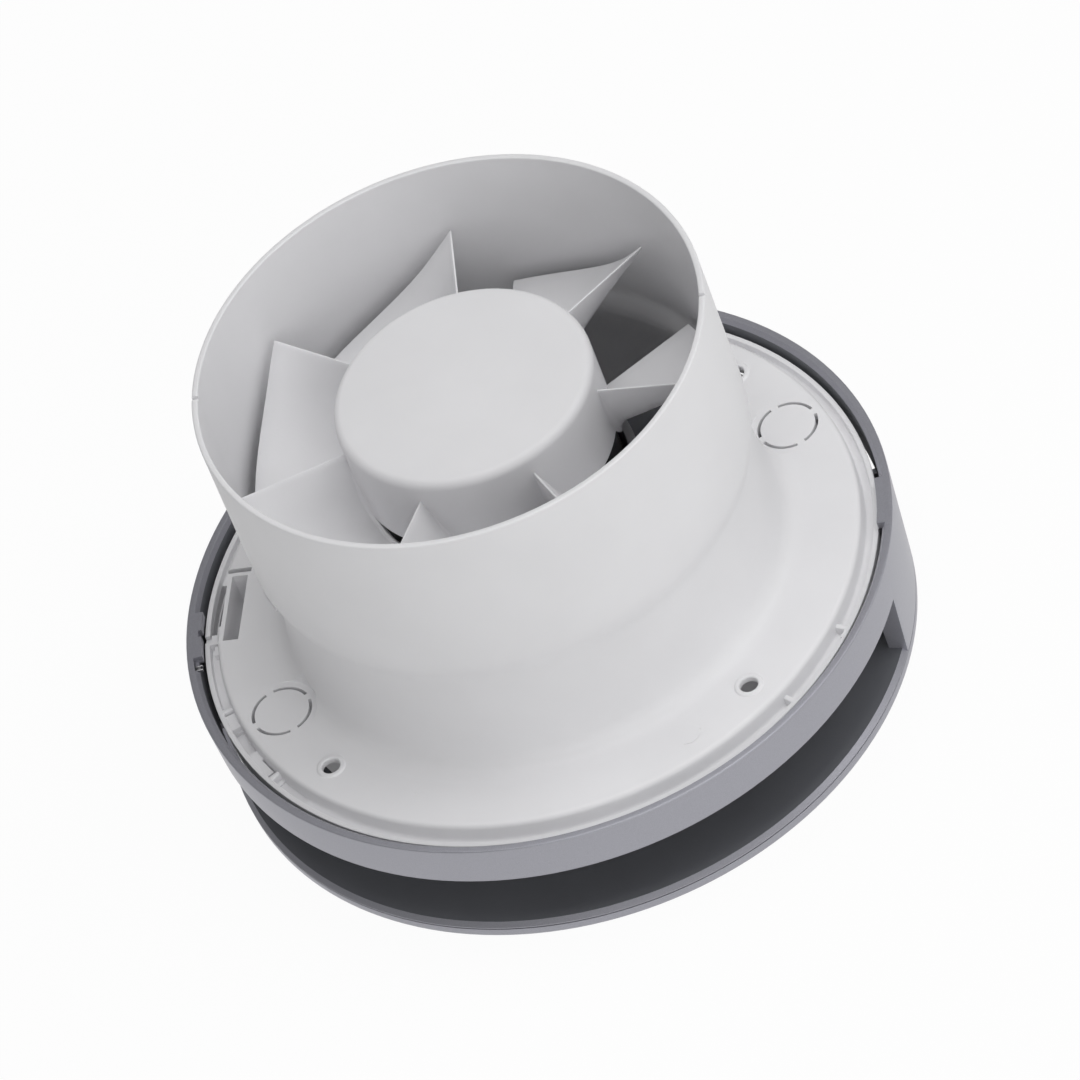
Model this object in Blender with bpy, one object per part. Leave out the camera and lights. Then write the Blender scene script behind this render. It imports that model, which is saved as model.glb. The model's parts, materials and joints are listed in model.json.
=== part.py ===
"""Bathroom exhaust fan for a round duct: spigot housing, motor on arms, axial impeller, flat-fronted cover.

The fan stands on its front panel. Z runs along the fan's axis, from the room side at 0 up to the
rim of the duct spigot, and X runs through the two pillars of the cover. Lengths are in metres.
"""
import math

import bmesh
import bpy
from mathutils import Matrix, Vector

MM = 0.001
TINY = 1e-8

# Gap between touching pieces, depth shared by joined shapes, and how far a cutter passes what it cuts
FIT = 0.3 * MM
SINK = 0.5 * MM
OVERRUN = 1.0 * MM
MERGE = 0.005 * MM

# Numbers of sides on round pieces, from the large mouldings down to the screws
LARGE_SIDE_COUNT = 48
HUB_SIDE_COUNT = 36
MOTOR_SIDE_COUNT = 28
SLOT_SIDE_COUNT = 20
SHAFT_SIDE_COUNT = 16
SMALL_SIDE_COUNT = 10
SCREW_SIDE_COUNT = 6

# Front panel and the cover that carries it
PANEL_THICKNESS = 2.6 * MM
PANEL_EDGE_ROUND = 0.8 * MM
TRAY_THICKNESS = 1.3 * MM
TRAY_BEVEL_WIDTH = 1.2 * MM
TRAY_BEVEL_DROP = 1.0 * MM
AIR_GAP = 17.7 * MM
BAND_HEIGHT = 11.2 * MM
BAND_WALL = 2.65 * MM
BAND_ROUND = 0.4 * MM
RING_GAP = 1.3 * MM
COVER_DRAFT = math.radians(3.0)
PILLAR_HALF_ANGLE = math.radians(14.7)
PILLAR_FLANGE_DEPTH = 3.2 * MM
PILLAR_FLANGE_THICKNESS = 1.8 * MM
TONGUE_HALF_ANGLE = math.radians(5.0)
TONGUE_HEIGHT = 2.1 * MM
TONGUE_RECESS = 0.1 * MM

# Base moulding: spigot tube, waisted neck and bell-mouthed inlet
SPIGOT_RADIUS = 61.5 * MM
SPIGOT_LENGTH = 77.8 * MM
SPIGOT_WALL = 1.5 * MM
TUBE_LENGTH = 44.0 * MM
SHOULDER_HEIGHT = 5.7 * MM
SHOULDER_STEP = 2.2 * MM
NECK_FLARE = 2.1 * MM
NECK_EXPONENT = 2.2
NECK_FILLET = 4.0 * MM
NECK_FILLET_START = math.radians(202.5)
INLET_FLARE = 4.6 * MM
INLET_EXPONENT = 1.7
RIM_ROUND = 0.4 * MM
RIM_NOTCH_WIDTH = 1.2 * MM
RIM_NOTCH_DEPTH = 0.9 * MM

# Base moulding: plate, groove, lip and skirt behind the cover band
FLANGE_WIDTH = 17.9 * MM
PLATE_ABOVE_BAND = 0.1 * MM
PLATE_THICKNESS = 2.6 * MM
PLATE_ROUND = 0.5 * MM
GROOVE_WIDTH = 2.2 * MM
GROOVE_DEPTH = 1.9 * MM
GROOVE_ROUND = 0.5 * MM
GROOVE_DRAFT = 0.1 * MM
LIP_DROP = 2.7 * MM
LIP_WIDTH = 1.5 * MM
LIP_ROUND = 0.2 * MM
SKIRT_WALL = 1.7 * MM
SKIRT_HEIGHT = 12.0 * MM
SKIRT_DRAFT = 0.3 * MM
SKIRT_NOTCH_HALF_ANGLE = math.radians(19.0)
SKIRT_NOTCH_RISE = 2.0 * MM

# Fixings through the base plate, each placed by its distance in from the plate's edge
SCREW_HOLE_RADIUS = 2.25 * MM
SCREW_EDGE = 7.9 * MM
SCREW_ANGLE = math.radians(45.0)
SCREW_BOSS_RADIUS = 3.6 * MM
SCREW_BOSS_RISE = 0.4 * MM
SCREW_BOSS_BEVEL = 0.6 * MM
SCREW_BOSS_DEPTH = 4.0 * MM
KNOCKOUT_RADIUS = 7.5 * MM
KNOCKOUT_EDGE = 9.8 * MM
KNOCKOUT_ANGLE = math.radians(25.5)
KNOCKOUT_SLOT = 0.8 * MM
KNOCKOUT_BRIDGE = math.radians(16.0)
POCKET_LENGTH = 20.1 * MM
POCKET_WIDTH = 4.2 * MM
POCKET_DEPTH = 6.0 * MM
POCKET_EDGE = 5.3 * MM
POCKET_OFFSET = 5.95 * MM
POCKET_WALL = 1.2 * MM
GROOVE_RIB_WIDTH = 1.2 * MM
GROOVE_RIB_RECESS = 0.1 * MM
GROOVE_RIB_ANGLES = tuple(math.radians(angle) for angle in (-27.7, -43.4, -144.9, -161.5))

# Motor bracket: cup on four arms, screwed to lugs in the neck
ARM_COUNT = 4
BRACKET_RISE = 1.7 * MM
BRACKET_PLATE = 2.0 * MM
BRACKET_FOOT = 6.0 * MM
CUP_GAP = 1.4 * MM
CUP_DEPTH = 19.0 * MM
CUP_WALL = 2.2 * MM
CUP_FLOOR = 2.5 * MM
CUP_VENT_RADIUS = 9.0 * MM
ARM_WIDTH_ROOT = 27.0 * MM
ARM_WIDTH_END = 8.0 * MM
ARM_TAPER_END = 6.0 * MM
ARM_END_GAP = 0.7 * MM
ARM_RECESS = 0.1 * MM
ARM_WEB = 2.4 * MM
ARM_WEB_DEPTH = 9.0 * MM
ARM_WEB_END = 8.0 * MM
ARM_RIB_HEIGHT = 1.6 * MM
ARM_RIB_WIDTH = 2.2 * MM
ARM_RIB_OFFSET = 3.0 * MM
FOOT_INSET = 0.2 * MM
LUG_RADIUS = 3.4 * MM
LUG_HEIGHT = 9.0 * MM
LUG_SINK = 0.6 * MM

# Motor
MOTOR_RADIUS = 29.6 * MM
MOTOR_NECK_STEP = 3.1 * MM
MOTOR_WALL = 2.0 * MM
MOTOR_EDGE = 1.0 * MM
MOTOR_NECK_EDGE = 1.5 * MM
MOTOR_NECK_HEIGHT = 9.5 * MM
MOTOR_LID_HEIGHT = 3.2 * MM
MOTOR_LID_EDGE = 0.8 * MM
MOTOR_BOSS_HEIGHT = 1.5 * MM
SHAFT_RADIUS = 3.0 * MM
SHAFT_CHAMFER = 0.5 * MM
BUSH_RADIUS = 6.0 * MM
BUSH_LENGTH = 5.0 * MM
BUSH_COVER = 1.2 * MM
WASHER_THICKNESS = 0.6 * MM
WASHER_STEP = 0.5 * MM
STATOR_STACK = 12.0 * MM
POLE_COUNT = 4
POLE_ANGLE = math.radians(45.0)
POLE_LENGTH = 9.0 * MM
POLE_WIDTH = 9.0 * MM
POLE_SHOE = 2.6 * MM
POLE_SHOE_SPAN = math.radians(66.0)
POLE_RECESS = 0.1 * MM
YOKE_WIDTH = 4.0 * MM
ROTOR_LENGTH = 14.0 * MM
ROTOR_RING_STEP = 2.5 * MM
ROTOR_RING_HEIGHT = 1.5 * MM
COIL_THICKNESS = 3.4 * MM
COIL_YOKE_GAP = 2.4 * MM
COIL_LID_GAP = 3.3 * MM
DAMPER_COUNT = 3
DAMPER_ANGLE = math.radians(30.0)
DAMPER_RADIUS = 4.4 * MM
DAMPER_WAIST = 3.0 * MM
DAMPER_EDGE = 8.1 * MM
DAMPER_CAP = 1.3 * MM
DAMPER_GAP = 2.3 * MM
LID_BOSS_WALL = 1.0 * MM
LID_BOSS_RISE = 1.2 * MM
LID_BOSS_END = 0.8 * MM

# Impeller
HUB_GAP = 3.05 * MM
HUB_LIFT = 2.9 * MM
HUB_HEIGHT = 23.8 * MM
HUB_WALL = 1.8 * MM
HUB_DOME_RISE = 1.7 * MM
HUB_CORNER = 2.4 * MM
HUB_CORNER_START = math.radians(84.0)
HUB_BOSS_RADIUS = 6.5 * MM
HUB_BOSS_GAP = 1.7 * MM
HUB_BORE_COVER = 4.2 * MM
BLADE_COUNT = 7
BLADE_PHASE = math.radians(93.8)
BLADE_TIP_GAP = 2.5 * MM
BLADE_SWEEP = math.radians(41.5)
BLADE_TOP_DROP = 7.7 * MM
BLADE_ROOT_DROP = 22.4 * MM
BLADE_TIP_DROP = 20.8 * MM
BLADE_ROOT_EXPONENT = 5.2
BLADE_TIP_EXPONENT = 2.4
BLADE_GRID_EXPONENT = 1.5
BLADE_ROW_COUNT = 4
BLADE_COLUMN_COUNT = 8
BLADE_THICKNESS = 1.5 * MM
BLADE_ROOT_SINK = 0.9 * MM
COLLAR_WALL = 1.1 * MM
COLLAR_HEIGHT = 4.0 * MM
COLLAR_RISE = 1.5 * MM

# Wiring inside the base
CHAMBER_GAP = 0.6 * MM
POST_INSET_ANGLE = math.radians(4.0)
POST_HOLE_SHARE = 0.8
BOARD_THICKNESS = 1.6 * MM
BOARD_STANDOFF = 2.2 * MM
BOARD_INSET = 1.1 * MM
BOARD_HALF_ANGLE = math.radians(26.0)
BOARD_ANGLE = math.radians(90.0)
CAPACITOR_SIZE = (18.0 * MM, 8.0 * MM, 6.0 * MM)
CAPACITOR_ROUND = 0.8 * MM
CAPACITOR_ANGLE = math.radians(101.5)
FITTING_INSET = 2.9 * MM
TERMINAL_LENGTH = 26.0 * MM
TERMINAL_HEIGHT = 9.2 * MM
TERMINAL_MARGIN = 1.8 * MM
TERMINAL_ANGLE = math.radians(-12.0)
TERMINAL_COUNT = 3
TERMINAL_WELL_GAP = 0.4 * MM
TERMINAL_WELL_DEPTH = 4.0 * MM
TERMINAL_BORE_DEPTH = 4.0 * MM
TERMINAL_SCREW_LENGTH = 3.4 * MM
CLAMP_OVERLAP = 0.2 * MM
CLAMP_WIDTH = 5.0 * MM
CLAMP_THICKNESS = 2.2 * MM
CLAMP_POST_RADIUS = 2.3 * MM
CLAMP_ANGLE = math.radians(9.5)
CLAMP_STANDOFF = 4.0 * MM
LID_THICKNESS = 1.5 * MM
LID_RECESS = 0.2 * MM
LID_GAP = 0.8 * MM
LID_START = math.radians(-37.0)
LID_END = math.radians(124.0)
LID_ACCESS_RADIUS = 5.0 * MM

# Leads: their size, the holes that they pass, and the stand-offs of their routes
LEAD_RADIUS = 0.9 * MM
LEAD_WINDOW = (8.0 * MM, 8.0 * MM, 5.5 * MM)
LEAD_WINDOW_RISE = 1.0 * MM
LEAD_HOLE_RADIUS = 2.4 * MM
LEAD_HOLE_OFFSET = 14.0 * MM
LEAD_DROP = 3.4 * MM
LEAD_WALL_GAP = 1.0 * MM
LEAD_PITCH = 2.6 * MM
LEAD_LID_INSET = 3.3 * MM
LEAD_STEP_COUNT = 20

# Screws: shank radius, head radius, head height
SMALL_SCREW = (1.1 * MM, 2.3 * MM, 1.3 * MM)
MAIN_SCREW = (1.4 * MM, 2.9 * MM, 1.8 * MM)
MAIN_SCREW_REACH = 3.2 * MM
LID_SCREW_REACH = 5.0 * MM
CLAMP_SCREW_SHARE = 0.6
PILOT_CLEARANCE = 0.3 * MM
POST_WALL = 1.3 * MM

# Levels that follow from the sizes above
PANEL_TOP = PANEL_THICKNESS
TRAY_BOTTOM = PANEL_TOP + FIT
TRAY_TOP = TRAY_BOTTOM + TRAY_THICKNESS
BAND_BOTTOM = TRAY_TOP + AIR_GAP
BAND_TOP = BAND_BOTTOM + BAND_HEIGHT
PLATE_TOP = BAND_TOP + PLATE_ABOVE_BAND
PLATE_BOTTOM = PLATE_TOP - PLATE_THICKNESS
LIP_TOP = PLATE_TOP - LIP_DROP
GROOVE_FLOOR = LIP_TOP - GROOVE_DEPTH
SKIRT_BOTTOM = LIP_TOP - SKIRT_HEIGHT
RIM_TOP = PLATE_TOP + SPIGOT_LENGTH
TUBE_BOTTOM = RIM_TOP - TUBE_LENGTH
WAIST_LEVEL = TUBE_BOTTOM - SHOULDER_HEIGHT
BRACKET_TOP = WAIST_LEVEL + BRACKET_RISE
CUP_BOTTOM = BRACKET_TOP - CUP_DEPTH
CUP_FLOOR_TOP = CUP_BOTTOM + CUP_FLOOR
MOTOR_BOTTOM = CUP_FLOOR_TOP + DAMPER_GAP
LID_JOINT = MOTOR_BOTTOM + MOTOR_LID_HEIGHT
STATOR_BOTTOM = LID_JOINT + COIL_LID_GAP + COIL_THICKNESS + FIT
STATOR_MIDDLE = STATOR_BOTTOM + 0.5 * STATOR_STACK
STATOR_TOP = STATOR_BOTTOM + STATOR_STACK
MOTOR_SHOULDER = STATOR_TOP + FIT + MOTOR_WALL
MOTOR_TOP = MOTOR_SHOULDER + MOTOR_NECK_HEIGHT
BOSS_TOP = MOTOR_TOP + MOTOR_BOSS_HEIGHT
HUB_SKIRT_BOTTOM = MOTOR_SHOULDER + HUB_LIFT
HUB_CROWN = HUB_SKIRT_BOTTOM + HUB_HEIGHT
HUB_UNDERSIDE = HUB_CROWN - HUB_WALL - 0.2 * HUB_DOME_RISE
HUB_BORE_TOP = HUB_CROWN - HUB_BORE_COVER
HUB_BOSS_BOTTOM = BOSS_TOP + HUB_BOSS_GAP
BLADE_TOP = HUB_CROWN - BLADE_TOP_DROP
LUG_TOP = BRACKET_TOP - BRACKET_FOOT - FIT
LUG_BOTTOM = LUG_TOP - LUG_HEIGHT

# Radii that follow, from the spigot out to the cover, then from the motor out to the blades
SPIGOT_BORE = SPIGOT_RADIUS - SPIGOT_WALL
WAIST_RADIUS = SPIGOT_RADIUS - SHOULDER_STEP
THROAT_RADIUS = WAIST_RADIUS - SPIGOT_WALL
NECK_FOOT_RADIUS = WAIST_RADIUS + NECK_FLARE
INLET_RADIUS = NECK_FOOT_RADIUS + INLET_FLARE
PLATE_RADIUS = NECK_FOOT_RADIUS + FLANGE_WIDTH
GROOVE_OUTER = PLATE_RADIUS + GROOVE_WIDTH
LIP_RADIUS = GROOVE_OUTER + LIP_WIDTH
SKIRT_INNER = LIP_RADIUS - SKIRT_WALL
BAND_RADIUS = LIP_RADIUS + RING_GAP + BAND_WALL
SCREW_CIRCLE_RADIUS = PLATE_RADIUS - SCREW_EDGE
KNOCKOUT_CIRCLE_RADIUS = PLATE_RADIUS - KNOCKOUT_EDGE
POCKET_CENTRE = (POCKET_EDGE - PLATE_RADIUS, POCKET_OFFSET)
CUP_BORE = MOTOR_RADIUS + CUP_GAP
CUP_RADIUS = CUP_BORE + CUP_WALL
ARM_END_RADIUS = THROAT_RADIUS - ARM_END_GAP
LUG_CIRCLE_RADIUS = THROAT_RADIUS - LUG_RADIUS + LUG_SINK
MOTOR_NECK_RADIUS = MOTOR_RADIUS - MOTOR_NECK_STEP
STATOR_RADIUS = MOTOR_RADIUS - MOTOR_WALL - FIT
STATOR_BORE = STATOR_RADIUS - YOKE_WIDTH - POLE_LENGTH
ROTOR_RADIUS = STATOR_BORE - FIT
DAMPER_CIRCLE_RADIUS = MOTOR_RADIUS - DAMPER_EDGE
HUB_RADIUS = MOTOR_NECK_RADIUS + HUB_GAP + HUB_WALL
BLADE_TIP_RADIUS = SPIGOT_BORE - BLADE_TIP_GAP


def material(name, colour, roughness, metallic=0.0):
    """Return a Principled material of one colour."""
    finish = bpy.data.materials.new(name)
    finish.use_nodes = True
    shader = finish.node_tree.nodes["Principled BSDF"]
    shader.inputs["Base Color"].default_value = (*colour, 1.0)
    shader.inputs["Roughness"].default_value = roughness
    shader.inputs["Metallic"].default_value = metallic
    finish.diffuse_color = (*colour, 1.0)
    return finish


def polar(radius, angle, z=0.0):
    """Return the point at a radius and an angle round the fan's axis."""
    return Vector((radius * math.cos(angle), radius * math.sin(angle), z))


def arc(centre_r, centre_z, radius, start, end, steps):
    """Return (r, z) points along an arc from one angle to another."""
    points = []
    for index in range(steps + 1):
        angle = start + (end - start) * index / steps
        points.append((centre_r + radius * math.cos(angle), centre_z + radius * math.sin(angle)))
    return points


def turned(profile, sides=LARGE_SIDE_COUNT, start=0.0, sweep=math.tau):
    """Spin a closed (r, z) outline, or one whose ends lie on the axis, round the Z axis."""
    bm = bmesh.new()
    verts = [bm.verts.new((r * math.cos(start), r * math.sin(start), z)) for r, z in profile]
    edges = [bm.edges.new(pair) for pair in zip(verts, verts[1:])]
    on_axis = profile[0][0] < TINY and profile[-1][0] < TINY
    if not on_axis:
        edges.append(bm.edges.new((verts[-1], verts[0])))
    whole = abs(sweep - math.tau) < TINY
    steps = sides if whole else max(2, round(sides * sweep / math.tau))
    bmesh.ops.spin(bm, geom=verts + edges, cent=(0, 0, 0), axis=(0, 0, 1), angle=sweep, steps=steps)
    bmesh.ops.remove_doubles(bm, verts=bm.verts, dist=MERGE)
    bmesh.ops.dissolve_degenerate(bm, edges=bm.edges, dist=TINY)
    if not whole:
        bmesh.ops.holes_fill(bm, edges=[e for e in bm.edges if e.is_boundary], sides=0)
    bmesh.ops.recalc_face_normals(bm, faces=bm.faces)
    return bm


def rod(radius, bottom, top, sides=SMALL_SIDE_COUNT, bore=0.0):
    """Return a round rod on the Z axis, or a tube if it has a bore."""
    if bore > 0.0:
        return turned([(bore, bottom), (radius, bottom), (radius, top), (bore, top)], sides)
    return turned([(0.0, bottom), (radius, bottom), (radius, top), (0.0, top)], sides)


def block(size, centre):
    """Return a box of a size round a centre."""
    bm = bmesh.new()
    scale = Matrix.Diagonal((*size, 1.0))
    bmesh.ops.create_cube(bm, size=1.0, matrix=Matrix.Translation(centre) @ scale)
    return bm


def slab(outline, bottom, top):
    """Extrude an (x, y) outline from one level up to another."""
    bm = bmesh.new()
    face = bm.faces.new([bm.verts.new((x, y, bottom)) for x, y in outline])
    raised = bmesh.ops.extrude_face_region(bm, geom=[face])["geom"]
    verts = [item for item in raised if isinstance(item, bmesh.types.BMVert)]
    bmesh.ops.translate(bm, verts=verts, vec=(0.0, 0.0, top - bottom))
    bmesh.ops.recalc_face_normals(bm, faces=bm.faces)
    return bm


def moved(bm, offset=(0.0, 0.0, 0.0), turn=0.0):
    """Turn a shape round Z where it stands, then move it."""
    bm.transform(Matrix.Translation(offset) @ Matrix.Rotation(turn, 4, "Z"))
    return bm


def around(make, angles, radius=0.0):
    """Gather one copy of a shape at each angle, each turned to face outwards."""
    bm = bmesh.new()
    for angle in angles:
        copy = moved(make(), polar(radius, angle), angle)
        mesh = bpy.data.meshes.new("copy")
        copy.to_mesh(mesh)
        copy.free()
        bm.from_mesh(mesh)
        bpy.data.meshes.remove(mesh)
    return bm


def add_object(name, bm, parent=None):
    """Turn a shape into an object at the fan's origin."""
    mesh = bpy.data.meshes.new(name)
    bm.to_mesh(mesh)
    bm.free()
    mesh.shade_smooth()
    mesh.set_sharp_from_angle(angle=math.radians(30.0))
    obj = bpy.data.objects.new(name, mesh)
    bpy.context.scene.collection.objects.link(obj)
    obj.parent = parent
    return obj


def piece(name, bm, finish, parent=None):
    """Make one sub-part."""
    obj = add_object(name, bm, parent)
    obj.data.materials.append(finish)
    return obj


def shape_with(obj, bm, operation):
    """Add a Boolean of a helper shape to a sub-part."""
    tool = add_object(f"{obj.name}_{operation.lower()}_{len(obj.modifiers)}", bm)
    tool.hide_render = True
    tool.display_type = "WIRE"
    step = obj.modifiers.new(operation.title(), "BOOLEAN")
    step.operation = operation
    step.object = tool
    return tool


def cut(obj, bm):
    """Cut a helper shape out of a sub-part."""
    return shape_with(obj, bm, "DIFFERENCE")


def join(obj, bm):
    """Join a helper shape to a sub-part."""
    return shape_with(obj, bm, "UNION")


def screw(name, at, seat, kind, length, finish, parent=None):
    """Make a screw pointing up, its head just below the seat level."""
    shank, head, height = kind
    top = seat - FIT
    recess = 0.45 * height
    profile = [
        (0.0, top - height + recess),
        (0.5 * head, top - height),
        (0.8 * head, top - height),
        (head, top - 0.5 * height),
        (head, top),
        (shank, top),
        (shank, top + length - shank),
        (0.0, top + length),
    ]
    shape = moved(turned(profile, SCREW_SIDE_COUNT), (at[0], at[1], 0.0))
    return piece(name, shape, finish, parent)


def cover_radius(z):
    """Return the cover's outer radius at a level."""
    return BAND_RADIUS - (BAND_TOP - z) * math.tan(COVER_DRAFT)


def neck_radius(z):
    """Return the outer radius of the neck between the plate and the waist."""
    share = (WAIST_LEVEL - z) / (WAIST_LEVEL - PLATE_TOP)
    return WAIST_RADIUS + (NECK_FOOT_RADIUS - WAIST_RADIUS) * share ** NECK_EXPONENT


def inlet_radius(z):
    """Return the airway's radius between the inlet's edge and the waist."""
    mouth = max(0.0, (PLATE_TOP - z) / (PLATE_TOP - SKIRT_BOTTOM))
    throat = neck_radius(max(z, PLATE_TOP)) - SPIGOT_WALL
    return throat + (INLET_RADIUS - NECK_FOOT_RADIUS + SPIGOT_WALL) * mouth ** INLET_EXPONENT


def base_profile():
    """Return the outline of the base moulding, from the rim down outside and up inside."""
    shoulder = []
    for index in range(1, 3):
        share = index / 3
        ease = share * share * (3.0 - 2.0 * share)
        shoulder.append((ease, TUBE_BOTTOM - SHOULDER_HEIGHT * share))
    neck_levels = [WAIST_LEVEL + (PLATE_TOP + NECK_FILLET - WAIST_LEVEL) * n / 2 for n in range(3)]
    inlet_levels = [PLATE_TOP + (SKIRT_BOTTOM + RIM_ROUND - PLATE_TOP) * n / 3 for n in range(4)]

    outline = [(SPIGOT_RADIUS - RIM_ROUND, RIM_TOP), (SPIGOT_RADIUS, RIM_TOP - RIM_ROUND)]
    outline.append((SPIGOT_RADIUS, TUBE_BOTTOM))
    outline += [(SPIGOT_RADIUS - SHOULDER_STEP * ease, z) for ease, z in shoulder]
    outline += [(neck_radius(z), z) for z in neck_levels]
    fillet_centre = neck_radius(PLATE_TOP + NECK_FILLET) + NECK_FILLET
    outline += arc(fillet_centre, PLATE_TOP + NECK_FILLET, NECK_FILLET, NECK_FILLET_START, 1.5 * math.pi, 3)
    outline += [
        (PLATE_RADIUS - PLATE_ROUND, PLATE_TOP),
        (PLATE_RADIUS, PLATE_TOP - PLATE_ROUND),
        (PLATE_RADIUS + GROOVE_DRAFT, GROOVE_FLOOR + GROOVE_ROUND),
        (PLATE_RADIUS + GROOVE_DRAFT + GROOVE_ROUND, GROOVE_FLOOR),
        (GROOVE_OUTER - 3 * GROOVE_DRAFT, GROOVE_FLOOR),
        (GROOVE_OUTER, LIP_TOP),
        (LIP_RADIUS - LIP_ROUND, LIP_TOP),
        (LIP_RADIUS, LIP_TOP - LIP_ROUND),
        (LIP_RADIUS - SKIRT_DRAFT, SKIRT_BOTTOM),
        (SKIRT_INNER - SKIRT_DRAFT, SKIRT_BOTTOM),
        (SKIRT_INNER, GROOVE_FLOOR - SPIGOT_WALL),
        (PLATE_RADIUS - SPIGOT_WALL, GROOVE_FLOOR - SPIGOT_WALL),
        (PLATE_RADIUS - SPIGOT_WALL, PLATE_BOTTOM),
    ]
    outer_levels = [z for z in reversed(inlet_levels) if z < PLATE_BOTTOM - OVERRUN]
    outline.append((inlet_radius(PLATE_BOTTOM) + SPIGOT_WALL, PLATE_BOTTOM))
    outline += [(inlet_radius(z) + SPIGOT_WALL, z) for z in reversed(outer_levels)]
    outline.append((INLET_RADIUS + 0.8 * SPIGOT_WALL, SKIRT_BOTTOM))
    outline.append((INLET_RADIUS + 0.3 * SPIGOT_WALL, SKIRT_BOTTOM))
    outline += [(inlet_radius(z), z) for z in reversed(inlet_levels)]
    outline += [(neck_radius(z) - SPIGOT_WALL, z) for z in reversed(neck_levels)]
    outline += [(SPIGOT_BORE - SHOULDER_STEP * ease, z) for ease, z in reversed(shoulder)]
    outline += [(SPIGOT_BORE, TUBE_BOTTOM), (SPIGOT_BORE, RIM_TOP - RIM_ROUND)]
    outline.append((SPIGOT_BORE + RIM_ROUND, RIM_TOP))
    return outline


def spread_angles(count, first=0.0):
    """Return evenly spread angles round the axis."""
    return [first + math.tau * n / count for n in range(count)]


def board_post_angles():
    """Return the angles of the two posts under the control board."""
    spread = BOARD_HALF_ANGLE - POST_INSET_ANGLE
    return [BOARD_ANGLE - spread, BOARD_ANGLE + spread]


def lid_post_angles():
    """Return the angles of the two posts that hold the wiring lid."""
    return [LID_START + POST_INSET_ANGLE, LID_END - POST_INSET_ANGLE]


CHAMBER_INNER = inlet_radius(SKIRT_BOTTOM) + SPIGOT_WALL + CHAMBER_GAP
CHAMBER_OUTER = SKIRT_INNER - CHAMBER_GAP
CHAMBER_MIDDLE = 0.5 * (CHAMBER_INNER + CHAMBER_OUTER)
POST_RADIUS = SMALL_SCREW[0] + PILOT_CLEARANCE + POST_WALL
LID_BOTTOM = SKIRT_BOTTOM + LID_RECESS
LID_TOP = LID_BOTTOM + LID_THICKNESS
BOARD_TOP = PLATE_BOTTOM - BOARD_STANDOFF
BOARD_BOTTOM = BOARD_TOP - BOARD_THICKNESS
CLAMP_TOP = PLATE_BOTTOM - CLAMP_STANDOFF
TERMINAL_TOP = PLATE_BOTTOM - FIT
FITTING_CIRCLE_RADIUS = CHAMBER_MIDDLE - FITTING_INSET
TERMINAL_SIZE = (TERMINAL_LENGTH, CHAMBER_OUTER - CHAMBER_INNER - 2 * TERMINAL_MARGIN, TERMINAL_HEIGHT)
CLAMP_SIZE = (CHAMBER_OUTER - CHAMBER_INNER + CLAMP_OVERLAP, CLAMP_WIDTH, CLAMP_THICKNESS)
WINDOW_LEVEL = SKIRT_BOTTOM + LEAD_WINDOW_RISE + 0.5 * LEAD_WINDOW[2]
PILOT_RADIUS = SMALL_SCREW[0] + PILOT_CLEARANCE


def clamp_points():
    """Return the places of the clamp's two screws, either side of the cable's way."""
    centre = polar(FITTING_CIRCLE_RADIUS, CLAMP_ANGLE)
    along = polar(0.5 * CLAMP_SIZE[0] - CLAMP_POST_RADIUS, CLAMP_ANGLE)
    return [centre - along, centre + along]


def post(at, bottom, radius):
    """Return a screw post with a pilot hole open below, sunk into the plate above."""
    depth = bottom + POST_HOLE_SHARE * (PLATE_BOTTOM - bottom)
    sunk = PLATE_BOTTOM + 0.5 * PLATE_THICKNESS
    outline = [
        (0.0, depth),
        (PILOT_RADIUS, depth),
        (PILOT_RADIUS, bottom),
        (radius, bottom),
        (radius, sunk),
        (0.0, sunk),
    ]
    return moved(turned(outline, SCREW_SIDE_COUNT), (at[0], at[1], 0.0))


def knockout_slots(angle):
    """Return the four arc slots that outline one cable knock-out."""
    outline = [
        (KNOCKOUT_RADIUS - KNOCKOUT_SLOT, PLATE_BOTTOM - OVERRUN),
        (KNOCKOUT_RADIUS, PLATE_BOTTOM - OVERRUN),
        (KNOCKOUT_RADIUS, PLATE_TOP + NECK_FILLET),
        (KNOCKOUT_RADIUS - KNOCKOUT_SLOT, PLATE_TOP + NECK_FILLET),
    ]
    sweep = math.tau / 4 - KNOCKOUT_BRIDGE
    centre = polar(KNOCKOUT_CIRCLE_RADIUS, angle)
    starts = spread_angles(4, angle + 0.5 * KNOCKOUT_BRIDGE)
    return [moved(turned(outline, SLOT_SIDE_COUNT, start, sweep), centre) for start in starts]


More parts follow.
